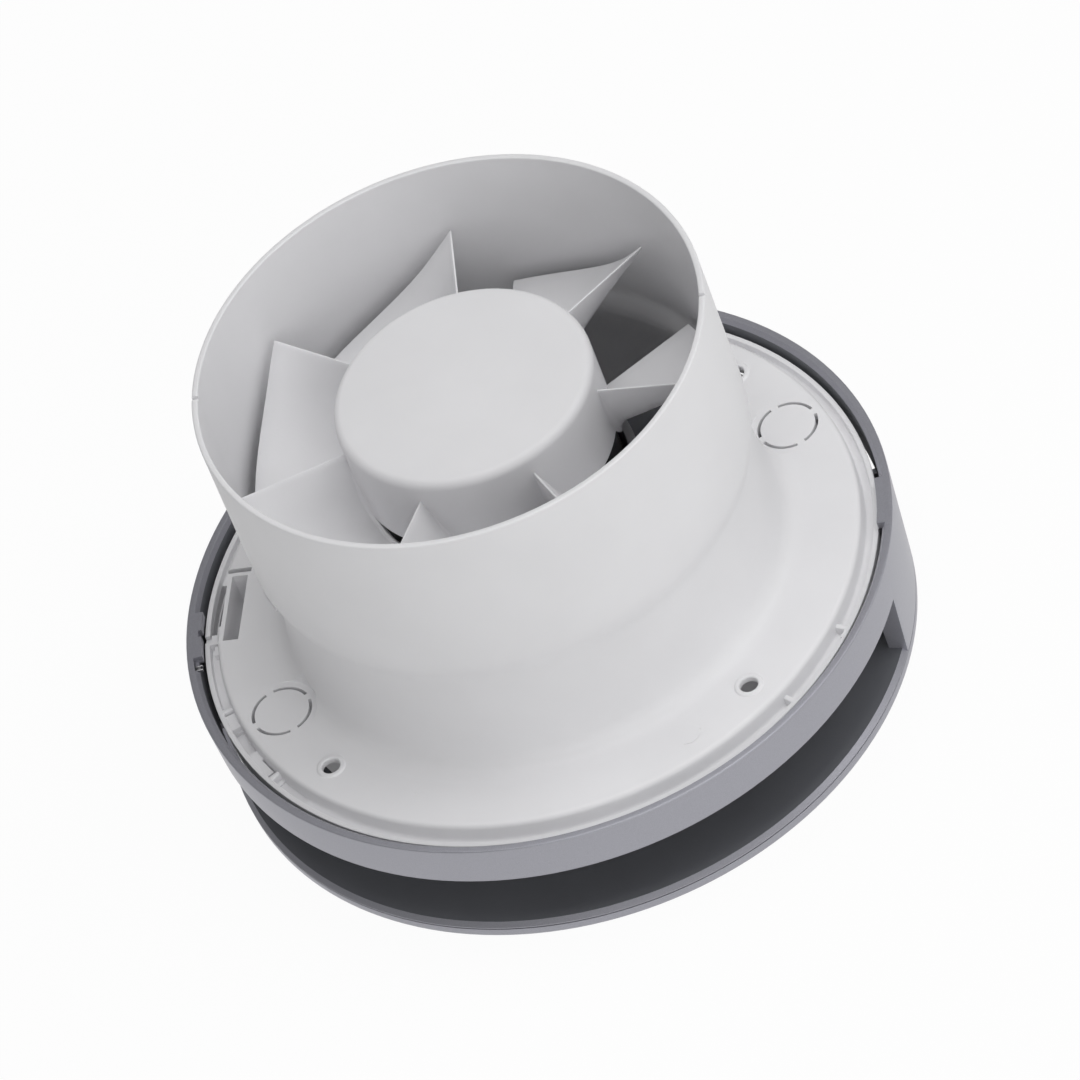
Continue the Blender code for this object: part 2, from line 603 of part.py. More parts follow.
def build_base(finish):
    """Make the base moulding with its fixings."""
    base = piece("base_housing", turned(base_profile()), finish)

    boss_outline = [
        (0.0, PLATE_BOTTOM - SCREW_BOSS_DEPTH),
        (SCREW_BOSS_RADIUS, PLATE_BOTTOM - SCREW_BOSS_DEPTH),
        (SCREW_BOSS_RADIUS, PLATE_TOP + 0.5 * SCREW_BOSS_RISE),
        (SCREW_BOSS_RADIUS - SCREW_BOSS_BEVEL, PLATE_TOP + SCREW_BOSS_RISE),
        (0.0, PLATE_TOP + SCREW_BOSS_RISE),
    ]
    screw_angles = spread_angles(4, SCREW_ANGLE)
    join(base, around(lambda: turned(boss_outline, SMALL_SIDE_COUNT), screw_angles, SCREW_CIRCLE_RADIUS))
    hole_bottom = PLATE_BOTTOM - SCREW_BOSS_DEPTH - OVERRUN
    hole_top = PLATE_TOP + SCREW_BOSS_RISE + OVERRUN
    cut(base, around(lambda: rod(SCREW_HOLE_RADIUS, hole_bottom, hole_top),
                     screw_angles, SCREW_CIRCLE_RADIUS))

    for angle in (KNOCKOUT_ANGLE, KNOCKOUT_ANGLE + math.pi):
        for slot in knockout_slots(angle):
            cut(base, slot)

    pocket_bottom = PLATE_TOP - POCKET_DEPTH
    shell = (POCKET_WIDTH + 2 * POCKET_WALL, POCKET_LENGTH + 2 * POCKET_WALL, POCKET_DEPTH)
    shell_middle = pocket_bottom - POCKET_WALL + 0.5 * POCKET_DEPTH
    join(base, block(shell, (*POCKET_CENTRE, shell_middle)))
    hollow = (POCKET_WIDTH, POCKET_LENGTH, POCKET_DEPTH + OVERRUN)
    cut(base, block(hollow, (*POCKET_CENTRE, pocket_bottom + 0.5 * hollow[2])))

    rib_size = (GROOVE_WIDTH + 2 * SINK, GROOVE_RIB_WIDTH, GROOVE_DEPTH - GROOVE_RIB_RECESS + SINK)
    rib_middle = (0.0, 0.0, LIP_TOP - GROOVE_RIB_RECESS - 0.5 * rib_size[2])
    rib_circle = PLATE_RADIUS + 0.5 * GROOVE_WIDTH
    join(base, around(lambda: block(rib_size, rib_middle), GROOVE_RIB_ANGLES, rib_circle))

    lug_hole = MAIN_SCREW[0] + PILOT_CLEARANCE
    join(base, around(lambda: rod(LUG_RADIUS, LUG_BOTTOM, LUG_TOP, bore=lug_hole),
                      spread_angles(ARM_COUNT), LUG_CIRCLE_RADIUS))

    for angle in board_post_angles():
        at = polar(CHAMBER_MIDDLE, angle)
        join(base, post(at, BOARD_TOP + FIT, POST_RADIUS))
    for at in clamp_points():
        join(base, post(at, CLAMP_TOP + FIT, CLAMP_POST_RADIUS))
    for angle in lid_post_angles():
        at = polar(CHAMBER_MIDDLE, angle)
        join(base, post(at, LID_TOP + FIT, POST_RADIUS))

    notch_top = BAND_BOTTOM + SKIRT_NOTCH_RISE
    notch_outline = [
        (SKIRT_INNER - 2 * OVERRUN, SKIRT_BOTTOM - OVERRUN),
        (LIP_RADIUS + 2 * OVERRUN, SKIRT_BOTTOM - OVERRUN),
        (LIP_RADIUS + 2 * OVERRUN, notch_top),
        (SKIRT_INNER - 2 * OVERRUN, notch_top),
    ]
    for middle in (0.0, math.pi):
        notch_start = middle - SKIRT_NOTCH_HALF_ANGLE
        cut(base, turned(notch_outline, LARGE_SIDE_COUNT, notch_start, 2 * SKIRT_NOTCH_HALF_ANGLE))
        rim_notch = (4 * SPIGOT_WALL, RIM_NOTCH_WIDTH, 2 * RIM_NOTCH_DEPTH)
        rim_at = (SPIGOT_RADIUS - 0.5 * SPIGOT_WALL) * math.cos(middle)
        cut(base, block(rim_notch, (rim_at, 0.0, RIM_TOP)))

    cut(base, block(LEAD_WINDOW, (0.0, inlet_radius(WINDOW_LEVEL), WINDOW_LEVEL)))
    return base


def build_cover(silver, parent):
    """Make the cover frame, cut open between its two pillars, and the front panel on it."""
    inner_top = BAND_RADIUS - BAND_WALL
    inner_bottom = cover_radius(TRAY_TOP) - BAND_WALL
    outline = [
        (0.0, TRAY_BOTTOM),
        (cover_radius(TRAY_BOTTOM), TRAY_BOTTOM),
        (cover_radius(BAND_TOP - BAND_ROUND), BAND_TOP - BAND_ROUND),
        (BAND_RADIUS - BAND_ROUND, BAND_TOP),
        (inner_top, BAND_TOP),
        (inner_bottom, TRAY_TOP),
        (0.0, TRAY_TOP),
    ]
    cover = piece("cover_frame", turned(outline), silver, parent)

    flange_radius = cover_radius(TRAY_TOP) - 0.5 * BAND_WALL - 0.5 * PILLAR_FLANGE_DEPTH
    flange_height = AIR_GAP + SINK
    flange = (PILLAR_FLANGE_DEPTH, PILLAR_FLANGE_THICKNESS, flange_height)
    flange_middle = (0.0, 0.0, TRAY_TOP - SINK + 0.5 * flange_height)
    inset = PILLAR_HALF_ANGLE - 0.5 * PILLAR_FLANGE_THICKNESS / flange_radius
    flange_angles = [side + turn for side in (0.0, math.pi) for turn in (-inset, inset)]
    join(cover, around(lambda: block(flange, flange_middle), flange_angles, flange_radius))

    tray_edge = cover_radius(TRAY_TOP)
    gap_outline = [
        (inner_bottom - OVERRUN, TRAY_TOP),
        (tray_edge - TRAY_BEVEL_WIDTH, TRAY_TOP),
        (tray_edge + OVERRUN, TRAY_TOP - TRAY_BEVEL_DROP * (1.0 + OVERRUN / TRAY_BEVEL_WIDTH)),
        (BAND_RADIUS + OVERRUN, TRAY_TOP),
        (BAND_RADIUS + OVERRUN, BAND_BOTTOM),
        (inner_bottom - OVERRUN, BAND_BOTTOM),
    ]
    open_angle = math.pi - 2 * PILLAR_HALF_ANGLE
    for start in (PILLAR_HALF_ANGLE, math.pi + PILLAR_HALF_ANGLE):
        cut(cover, turned(gap_outline, LARGE_SIDE_COUNT, start, open_angle))

    tongue_top = BAND_TOP - TONGUE_RECESS
    tongue_outline = [
        (LIP_RADIUS + FIT, tongue_top - TONGUE_HEIGHT),
        (inner_top + SINK, tongue_top - TONGUE_HEIGHT),
        (inner_top + SINK, tongue_top),
        (LIP_RADIUS + FIT, tongue_top),
    ]
    for start in (-TONGUE_HALF_ANGLE, math.pi - TONGUE_HALF_ANGLE):
        join(cover, turned(tongue_outline, LARGE_SIDE_COUNT, start, 2 * TONGUE_HALF_ANGLE))

    front = cover_radius(0.0) - PANEL_EDGE_ROUND
    panel_outline = [(0.0, 0.0)]
    panel_outline += arc(front, PANEL_EDGE_ROUND, PANEL_EDGE_ROUND, 1.5 * math.pi, math.tau, 3)
    panel_outline += [(cover_radius(PANEL_TOP), PANEL_TOP), (0.0, PANEL_TOP)]
    piece("front_panel", turned(panel_outline), silver, parent)
    return cover


def arm_outline():
    """Return the tapered outline of one arm's top plate, lying along X."""
    root = CUP_RADIUS - 0.5 * CUP_WALL
    taper_end = ARM_END_RADIUS - ARM_TAPER_END
    return [
        (root, -0.5 * ARM_WIDTH_ROOT),
        (taper_end, -0.5 * ARM_WIDTH_END),
        (ARM_END_RADIUS, -0.5 * ARM_WIDTH_END),
        (ARM_END_RADIUS, 0.5 * ARM_WIDTH_END),
        (taper_end, 0.5 * ARM_WIDTH_END),
        (root, 0.5 * ARM_WIDTH_ROOT),
    ]


def build_bracket(finish, steel):
    """Make the motor bracket: a cup for the motor on four arms, and the arms' screws."""
    cup = [
        (CUP_VENT_RADIUS, CUP_BOTTOM),
        (CUP_RADIUS, CUP_BOTTOM),
        (CUP_RADIUS, BRACKET_TOP),
        (CUP_BORE, BRACKET_TOP),
        (CUP_BORE, CUP_FLOOR_TOP),
        (CUP_VENT_RADIUS, CUP_FLOOR_TOP),
    ]
    bracket = piece("motor_bracket", turned(cup, MOTOR_SIDE_COUNT), finish)
    arm_angles = spread_angles(ARM_COUNT)
    arm_top = BRACKET_TOP - ARM_RECESS
    join(bracket, around(lambda: slab(arm_outline(), BRACKET_TOP - BRACKET_PLATE, arm_top), arm_angles))

    root = CUP_RADIUS - 0.5 * CUP_WALL
    web_length = ARM_END_RADIUS - ARM_WEB_END - root
    web_size = (web_length, ARM_WEB, ARM_WEB_DEPTH)
    web_middle = (root + 0.5 * web_length, 0.0, BRACKET_TOP - 0.5 * BRACKET_PLATE - 0.5 * ARM_WEB_DEPTH)
    join(bracket, around(lambda: block(web_size, web_middle), arm_angles))

    foot_size = (2 * LUG_RADIUS, ARM_WIDTH_END - 2 * FOOT_INSET, BRACKET_FOOT - FOOT_INSET)
    foot_at = ARM_END_RADIUS - LUG_RADIUS - ARM_RECESS
    foot_middle = (foot_at, 0.0, BRACKET_TOP - FOOT_INSET - 0.5 * foot_size[2])
    join(bracket, around(lambda: block(foot_size, foot_middle), arm_angles))

    rib_size = (ARM_RIB_WIDTH, ARM_WIDTH_END, ARM_RIB_HEIGHT + SINK)
    rib_middle = (CUP_RADIUS + ARM_RIB_OFFSET, 0.0, BRACKET_TOP + 0.5 * (ARM_RIB_HEIGHT - SINK))
    join(bracket, around(lambda: block(rib_size, rib_middle), arm_angles))

    pilot = MAIN_SCREW[0] + PILOT_CLEARANCE
    pilot_top = BRACKET_TOP - BRACKET_PLATE
    cut(bracket, around(lambda: rod(pilot, LUG_TOP - OVERRUN, pilot_top), arm_angles, LUG_CIRCLE_RADIUS))
    damper_hole = DAMPER_WAIST + FIT
    damper_angles = spread_angles(DAMPER_COUNT, DAMPER_ANGLE)
    floor_cut = (CUP_BOTTOM - OVERRUN, CUP_FLOOR_TOP + OVERRUN)
    cut(bracket, around(lambda: rod(damper_hole, *floor_cut), damper_angles, DAMPER_CIRCLE_RADIUS))
    cut(bracket, moved(rod(LEAD_HOLE_RADIUS, *floor_cut), (0.0, LEAD_HOLE_OFFSET, 0.0)))

    for index, angle in enumerate(arm_angles):
        at = polar(LUG_CIRCLE_RADIUS, angle)
        screw(f"bracket_screw_{index + 1}", at, LUG_BOTTOM, MAIN_SCREW, LUG_HEIGHT + MAIN_SCREW_REACH, steel)
    return bracket


def build_motor(black, steel, copper, bronze, rubber, parent):
    """Make the motor: case, stator, coils, bushes, and the rotor and shaft that turn."""
    bush_seat = BUSH_RADIUS + FIT
    seat_wall = bush_seat + MOTOR_WALL
    rear_seat_top = BOSS_TOP - BUSH_COVER
    rear_seat_bottom = rear_seat_top - BUSH_LENGTH
    damper_angles = spread_angles(DAMPER_COUNT, DAMPER_ANGLE)
    pole_angles = spread_angles(POLE_COUNT, POLE_ANGLE)
    case = [
        (SHAFT_RADIUS + 2 * FIT, BOSS_TOP),
        (seat_wall, BOSS_TOP),
        (seat_wall, MOTOR_TOP),
        (MOTOR_NECK_RADIUS - MOTOR_NECK_EDGE, MOTOR_TOP),
        (MOTOR_NECK_RADIUS, MOTOR_TOP - MOTOR_NECK_EDGE),
        (MOTOR_NECK_RADIUS, MOTOR_SHOULDER + MOTOR_EDGE),
        (MOTOR_NECK_RADIUS + MOTOR_EDGE, MOTOR_SHOULDER),
        (MOTOR_RADIUS - MOTOR_EDGE, MOTOR_SHOULDER),
        (MOTOR_RADIUS, MOTOR_SHOULDER - MOTOR_EDGE),
        (MOTOR_RADIUS, LID_JOINT + FIT),
        (MOTOR_RADIUS - MOTOR_WALL, LID_JOINT + FIT),
        (MOTOR_RADIUS - MOTOR_WALL, MOTOR_SHOULDER - MOTOR_WALL),
        (MOTOR_NECK_RADIUS - MOTOR_WALL, MOTOR_SHOULDER - MOTOR_WALL),
        (MOTOR_NECK_RADIUS - MOTOR_WALL, MOTOR_TOP - MOTOR_WALL),
        (seat_wall, MOTOR_TOP - MOTOR_WALL),
        (seat_wall, rear_seat_bottom),
        (bush_seat, rear_seat_bottom),
        (bush_seat, rear_seat_top),
        (SHAFT_RADIUS + 2 * FIT, rear_seat_top),
    ]
    piece("motor_case", turned(case, MOTOR_SIDE_COUNT), black)

    lid_floor = MOTOR_BOTTOM + MOTOR_WALL
    lid = [
        (0.0, MOTOR_BOTTOM),
        (MOTOR_RADIUS - MOTOR_LID_EDGE, MOTOR_BOTTOM),
        (MOTOR_RADIUS, MOTOR_BOTTOM + MOTOR_LID_EDGE),
        (MOTOR_RADIUS, LID_JOINT),
        (MOTOR_RADIUS - MOTOR_WALL - FIT, LID_JOINT),
        (MOTOR_RADIUS - MOTOR_WALL - FIT, lid_floor),
        (seat_wall, lid_floor),
        (seat_wall, lid_floor + BUSH_LENGTH),
        (bush_seat, lid_floor + BUSH_LENGTH),
        (bush_seat, lid_floor),
        (0.0, lid_floor),
    ]
    motor_lid = piece("motor_lid", turned(lid, MOTOR_SIDE_COUNT), black)
    boss_top = LID_JOINT + LID_BOSS_RISE
    join(motor_lid, around(lambda: rod(PILOT_RADIUS + LID_BOSS_WALL, MOTOR_BOTTOM + SINK, boss_top),
                           damper_angles, DAMPER_CIRCLE_RADIUS))
    cut(motor_lid, around(lambda: rod(PILOT_RADIUS, MOTOR_BOTTOM - OVERRUN, boss_top - LID_BOSS_END),
                          damper_angles, DAMPER_CIRCLE_RADIUS))

    yoke_inner = STATOR_RADIUS - YOKE_WIDTH
    yoke = rod(STATOR_RADIUS, STATOR_BOTTOM, STATOR_TOP, MOTOR_SIDE_COUNT, yoke_inner)
    core = piece("stator_core", yoke, steel)
    pole_length = yoke_inner + 0.5 * YOKE_WIDTH - STATOR_BORE - 0.5 * POLE_SHOE
    pole_size = (pole_length, POLE_WIDTH, STATOR_STACK - 4 * POLE_RECESS)
    pole_middle = (STATOR_BORE + 0.5 * POLE_SHOE + 0.5 * pole_length, 0.0, STATOR_MIDDLE)
    join(core, around(lambda: block(pole_size, pole_middle), pole_angles))
    shoe = [
        (STATOR_BORE, STATOR_BOTTOM + POLE_RECESS),
        (STATOR_BORE + POLE_SHOE, STATOR_BOTTOM + POLE_RECESS),
        (STATOR_BORE + POLE_SHOE, STATOR_TOP - POLE_RECESS),
        (STATOR_BORE, STATOR_TOP - POLE_RECESS),
    ]
    for angle in pole_angles:
        join(core, turned(shoe, MOTOR_SIDE_COUNT, angle - 0.5 * POLE_SHOE_SPAN, POLE_SHOE_SPAN))

    coil_inner = STATOR_BORE + POLE_SHOE + FIT
    coil_outer = yoke_inner - COIL_YOKE_GAP
    coil_depth = coil_outer - coil_inner
    window = (coil_depth + 2 * OVERRUN, POLE_WIDTH + 2 * FIT, STATOR_STACK + 2 * FIT)
    body = (coil_depth, window[1] + 2 * COIL_THICKNESS, window[2] + 2 * COIL_THICKNESS)
    coil_at = (0.5 * (coil_inner + coil_outer), 0.0, STATOR_MIDDLE)
    for index, angle in enumerate(pole_angles):
        coil = piece(f"stator_coil_{index + 1}", moved(block(body, coil_at), turn=angle), copper)
        cut(coil, moved(block(window, coil_at), turn=angle))

    shaft_bore = SHAFT_RADIUS + FIT
    rear_bush = rod(BUSH_RADIUS, rear_seat_bottom, rear_seat_top - FIT, SHAFT_SIDE_COUNT, shaft_bore)
    piece("rear_bush", rear_bush, bronze)
    bush_top = lid_floor + BUSH_LENGTH
    front_bush = rod(BUSH_RADIUS, lid_floor + BUSH_COVER, bush_top, SHAFT_SIDE_COUNT, shaft_bore)
    piece("front_bush", front_bush, bronze)

    rotor_bottom = STATOR_MIDDLE - 0.5 * ROTOR_LENGTH
    rotor_top = STATOR_MIDDLE + 0.5 * ROTOR_LENGTH
    ring_radius = ROTOR_RADIUS - ROTOR_RING_STEP
    rotor = [
        (shaft_bore, rotor_bottom),
        (ring_radius, rotor_bottom),
        (ring_radius, rotor_bottom + ROTOR_RING_HEIGHT),
        (ROTOR_RADIUS, rotor_bottom + ROTOR_RING_HEIGHT),
        (ROTOR_RADIUS, rotor_top - ROTOR_RING_HEIGHT),
        (ring_radius, rotor_top - ROTOR_RING_HEIGHT),
        (ring_radius, rotor_top),
        (shaft_bore, rotor_top),
    ]
    piece("rotor", turned(rotor, MOTOR_SIDE_COUNT), steel, parent)
    shaft_bottom = lid_floor + FIT
    shaft_top = HUB_BORE_TOP - FIT
    shaft = [
        (0.0, shaft_bottom),
        (SHAFT_RADIUS - SHAFT_CHAMFER, shaft_bottom),
        (SHAFT_RADIUS, shaft_bottom + SHAFT_CHAMFER),
        (SHAFT_RADIUS, shaft_top - SHAFT_CHAMFER),
        (SHAFT_RADIUS - SHAFT_CHAMFER, shaft_top),
        (0.0, shaft_top),
    ]
    piece("motor_shaft", turned(shaft, SHAFT_SIDE_COUNT), steel, parent)
    washer_bottom = bush_top + FIT
    washer_top = washer_bottom + WASHER_THICKNESS
    washer = rod(BUSH_RADIUS - WASHER_STEP, washer_bottom, washer_top, SHAFT_SIDE_COUNT, shaft_bore)
    piece("thrust_washer", washer, rubber, parent)

    damper_top = MOTOR_BOTTOM - FIT
    damper_bottom = CUP_BOTTOM - FIT - DAMPER_CAP
    damper = [
        (SMALL_SCREW[0] + FIT, damper_bottom),
        (DAMPER_RADIUS, damper_bottom),
        (DAMPER_RADIUS, CUP_BOTTOM - FIT),
        (DAMPER_WAIST, CUP_BOTTOM - FIT),
        (DAMPER_WAIST, CUP_FLOOR_TOP + FIT),
        (DAMPER_RADIUS, CUP_FLOOR_TOP + FIT),
        (DAMPER_RADIUS, damper_top),
        (SMALL_SCREW[0] + FIT, damper_top),
    ]
    for index, angle in enumerate(damper_angles):
        at = polar(DAMPER_CIRCLE_RADIUS, angle)
        piece(f"motor_damper_{index + 1}", moved(turned(damper, SMALL_SIDE_COUNT), at), rubber)
        length = LID_JOINT - damper_bottom
        screw(f"motor_screw_{index + 1}", at, damper_bottom, SMALL_SCREW, length, steel)


def hub_profile():
    """Return the outline of the impeller's hub, from the crown round to the shaft bore."""
    corner_r = HUB_RADIUS - HUB_CORNER
    corner_z = HUB_CROWN - HUB_DOME_RISE - HUB_CORNER
    outline = []
    for share in (0.0, 0.4, 0.75):
        outline.append((corner_r * share, HUB_CROWN - HUB_DOME_RISE * share * share))
    outline += arc(corner_r, corner_z, HUB_CORNER, HUB_CORNER_START, 0.0, 5)
    inner = HUB_RADIUS - HUB_WALL
    inner_corner = HUB_CORNER - HUB_WALL
    outline += [(HUB_RADIUS, HUB_SKIRT_BOTTOM), (inner, HUB_SKIRT_BOTTOM)]
    outline += arc(corner_r, corner_z, inner_corner, 0.0, HUB_CORNER_START, 3)
    outline += [
        (HUB_BOSS_RADIUS, HUB_UNDERSIDE),
        (HUB_BOSS_RADIUS, HUB_BOSS_BOTTOM),
        (SHAFT_RADIUS + FIT, HUB_BOSS_BOTTOM),
        (SHAFT_RADIUS + FIT, HUB_BORE_TOP),
        (0.0, HUB_BORE_TOP),
    ]
    return outline


def blade_point(share_out, share_down):
    """Return a point of the first blade's middle surface, from root to tip and top to bottom."""
    root = HUB_RADIUS - BLADE_ROOT_SINK
    radius = root + (BLADE_TIP_RADIUS - root) * share_out
    drop = BLADE_ROOT_DROP + (BLADE_TIP_DROP - BLADE_ROOT_DROP) * share_out
    bend = BLADE_ROOT_EXPONENT + (BLADE_TIP_EXPONENT - BLADE_ROOT_EXPONENT) * share_out
    fall = (1.0 - math.exp(-bend * share_down)) / (1.0 - math.exp(-bend))
    return polar(radius, BLADE_SWEEP * share_down, BLADE_TOP - drop * fall)


def blade_sheet():
    """Return the middle surface of one blade as a grid of faces."""
    bm = bmesh.new()
    down = [(k / BLADE_COLUMN_COUNT) ** BLADE_GRID_EXPONENT for k in range(BLADE_COLUMN_COUNT + 1)]
    rows = []
    for n in range(BLADE_ROW_COUNT + 1):
        rows.append([bm.verts.new(blade_point(n / BLADE_ROW_COUNT, share)) for share in down])
    for near, far in zip(rows, rows[1:]):
        for k in range(BLADE_COLUMN_COUNT):
            bm.faces.new((near[k], near[k + 1], far[k + 1], far[k]))
    return bm


def build_impeller(finish, steel, parent):
    """Make the seven-bladed impeller and the spring collar on its boss."""
    impeller = piece("impeller", turned(hub_profile(), HUB_SIDE_COUNT), finish, parent)
    for turn in spread_angles(BLADE_COUNT, BLADE_PHASE):
        blade = join(impeller, moved(blade_sheet(), turn=turn))
        wall = blade.modifiers.new("Wall", "SOLIDIFY")
        wall.thickness = BLADE_THICKNESS
        wall.offset = 0.0
    collar_bore = HUB_BOSS_RADIUS + FIT
    collar_bottom = HUB_BOSS_BOTTOM + COLLAR_RISE
    collar_top = collar_bottom + COLLAR_HEIGHT
    collar = rod(collar_bore + COLLAR_WALL, collar_bottom, collar_top, SHAFT_SIDE_COUNT, collar_bore)
    piece("hub_collar", collar, steel, parent)


def build_board(green, blue, steel):
    """Make the control board in the base, its capacitor and its screws."""
    inner = CHAMBER_INNER + BOARD_INSET
    outer = PLATE_RADIUS - SPIGOT_WALL - FIT
    outline = [(inner, BOARD_BOTTOM), (outer, BOARD_BOTTOM), (outer, BOARD_TOP), (inner, BOARD_TOP)]
    start = BOARD_ANGLE - BOARD_HALF_ANGLE
    board = piece("control_board", turned(outline, LARGE_SIDE_COUNT, start, 2 * BOARD_HALF_ANGLE), green)
    cut(board, around(lambda: rod(PILOT_RADIUS, BOARD_BOTTOM - OVERRUN, BOARD_TOP + OVERRUN),
                      board_post_angles(), CHAMBER_MIDDLE))
    centre = polar(CHAMBER_MIDDLE, CAPACITOR_ANGLE, BOARD_BOTTOM - FIT - 0.5 * CAPACITOR_SIZE[2])
    turn = CAPACITOR_ANGLE - math.pi / 2
    capacitor = piece("run_capacitor", moved(block(CAPACITOR_SIZE, (0, 0, 0)), centre, turn), blue)
    round_edges(capacitor, CAPACITOR_ROUND)
    for index, angle in enumerate(board_post_angles()):
        length = BOARD_STANDOFF + 0.5 * BOARD_THICKNESS
        at = polar(CHAMBER_MIDDLE, angle)
        screw(f"board_screw_{index + 1}", at, BOARD_BOTTOM, SMALL_SCREW, length, steel)


def round_edges(obj, width):
    """Bevel a sub-part's edges."""
    bevel = obj.modifiers.new("Edges", "BEVEL")
    bevel.width = width
    bevel.segments = 2
    bevel.limit_method = "ANGLE"


def build_terminals(white, brass, steel):
    """Make the terminal block, its screws, and the cable clamp with its two screws."""
    turn = TERMINAL_ANGLE - math.pi / 2
    centre = polar(FITTING_CIRCLE_RADIUS, TERMINAL_ANGLE, TERMINAL_TOP - 0.5 * TERMINAL_HEIGHT)
    terminal = piece("terminal_block", moved(block(TERMINAL_SIZE, (0, 0, 0)), centre, turn), white)
    pitch = TERMINAL_LENGTH / TERMINAL_COUNT
    well_radius = SMALL_SCREW[1] + TERMINAL_WELL_GAP
    bottom = TERMINAL_TOP - TERMINAL_HEIGHT
    well_top = bottom + TERMINAL_WELL_DEPTH
    bore_top = well_top + TERMINAL_BORE_DEPTH
    well = [
        (0.0, bottom - OVERRUN),
        (well_radius, bottom - OVERRUN),
        (well_radius, well_top),
        (PILOT_RADIUS, well_top),
        (PILOT_RADIUS, bore_top),
        (0.0, bore_top),
    ]
    for n in range(TERMINAL_COUNT):
        offset = (n - 0.5 * (TERMINAL_COUNT - 1)) * pitch
        at = centre + Matrix.Rotation(turn, 3, "Z") @ Vector((offset, 0.0, 0.0))
        cut(terminal, moved(turned(well, SMALL_SIDE_COUNT), (at.x, at.y, 0.0)))
        screw(f"terminal_screw_{n + 1}", at, well_top, SMALL_SCREW, TERMINAL_SCREW_LENGTH, brass)

    clamp_bottom = CLAMP_TOP - CLAMP_THICKNESS
    centre = polar(FITTING_CIRCLE_RADIUS, CLAMP_ANGLE, CLAMP_TOP - 0.5 * CLAMP_THICKNESS)
    clamp = piece("cable_clamp", moved(block(CLAMP_SIZE, (0, 0, 0)), centre, CLAMP_ANGLE), white)
    for index, at in enumerate(clamp_points()):
        cut(clamp, moved(rod(PILOT_RADIUS, clamp_bottom - OVERRUN, CLAMP_TOP + OVERRUN), (at.x, at.y, 0.0)))
        length = CLAMP_THICKNESS + CLAMP_SCREW_SHARE * CLAMP_STANDOFF
        screw(f"clamp_screw_{index + 1}", at, clamp_bottom, SMALL_SCREW, length, steel)


def build_lid(finish, steel):
    """Make the lid over the wiring, open over the mounting screw, and its two screws."""
    outline = [
        (CHAMBER_INNER, LID_BOTTOM),
        (CHAMBER_OUTER - LID_GAP, LID_BOTTOM),
        (CHAMBER_OUTER - LID_GAP, LID_TOP),
        (CHAMBER_INNER, LID_TOP),
    ]
    lid = piece("wiring_lid", turned(outline, LARGE_SIDE_COUNT, LID_START, LID_END - LID_START), finish)
    lid_cut = (LID_BOTTOM - OVERRUN, LID_TOP + OVERRUN)
    access = rod(LID_ACCESS_RADIUS, *lid_cut, SHAFT_SIDE_COUNT)
    cut(lid, moved(access, polar(SCREW_CIRCLE_RADIUS, SCREW_ANGLE)))
    cut(lid, around(lambda: rod(PILOT_RADIUS, *lid_cut), lid_post_angles(), CHAMBER_MIDDLE))
    for index, angle in enumerate(lid_post_angles()):
        length = LID_THICKNESS + LID_SCREW_REACH
        screw(f"lid_screw_{index + 1}", polar(CHAMBER_MIDDLE, angle), LID_BOTTOM, SMALL_SCREW, length, steel)


def smooth_route(points, spacing):
    """Return evenly spaced points on a Catmull-Rom curve through the route's points."""
    ends = [points[0] * 2 - points[1], *points, points[-1] * 2 - points[-2]]
    dense = []
    for a, b, c, d in zip(ends, ends[1:], ends[2:], ends[3:]):
        for n in range(LEAD_STEP_COUNT):
            t = n / LEAD_STEP_COUNT
            dense.append(0.5 * (2 * b + (c - a) * t + (2 * a - 5 * b + 4 * c - d) * t ** 2
                                + (3 * b - a - 3 * c + d) * t ** 3))
    dense.append(points[-1])
    route, travelled = [dense[0]], 0.0
    for near, far in zip(dense, dense[1:]):
        travelled += (far - near).length
        if travelled >= spacing:
            route.append(far)
            travelled = 0.0
    if (route[-1] - dense[-1]).length < 0.5 * spacing:
        route.pop()
    route.append(dense[-1])
    return route


def lead(name, points, finish):
    """Make an insulated lead along a route."""
    route = smooth_route([Vector(point) for point in points], 5 * LEAD_RADIUS)
    data = bpy.data.curves.new(name, "CURVE")
    data.dimensions = "3D"
    data.bevel_depth = LEAD_RADIUS
    data.bevel_resolution = 2
    data.use_fill_caps = True
    spline = data.splines.new("POLY")
    spline.points.add(len(route) - 1)
    for point, place in zip(spline.points, route):
        point.co = (*place, 1.0)
    obj = bpy.data.objects.new(name, data)
    bpy.context.scene.collection.objects.link(obj)
    data.materials.append(finish)
    return obj


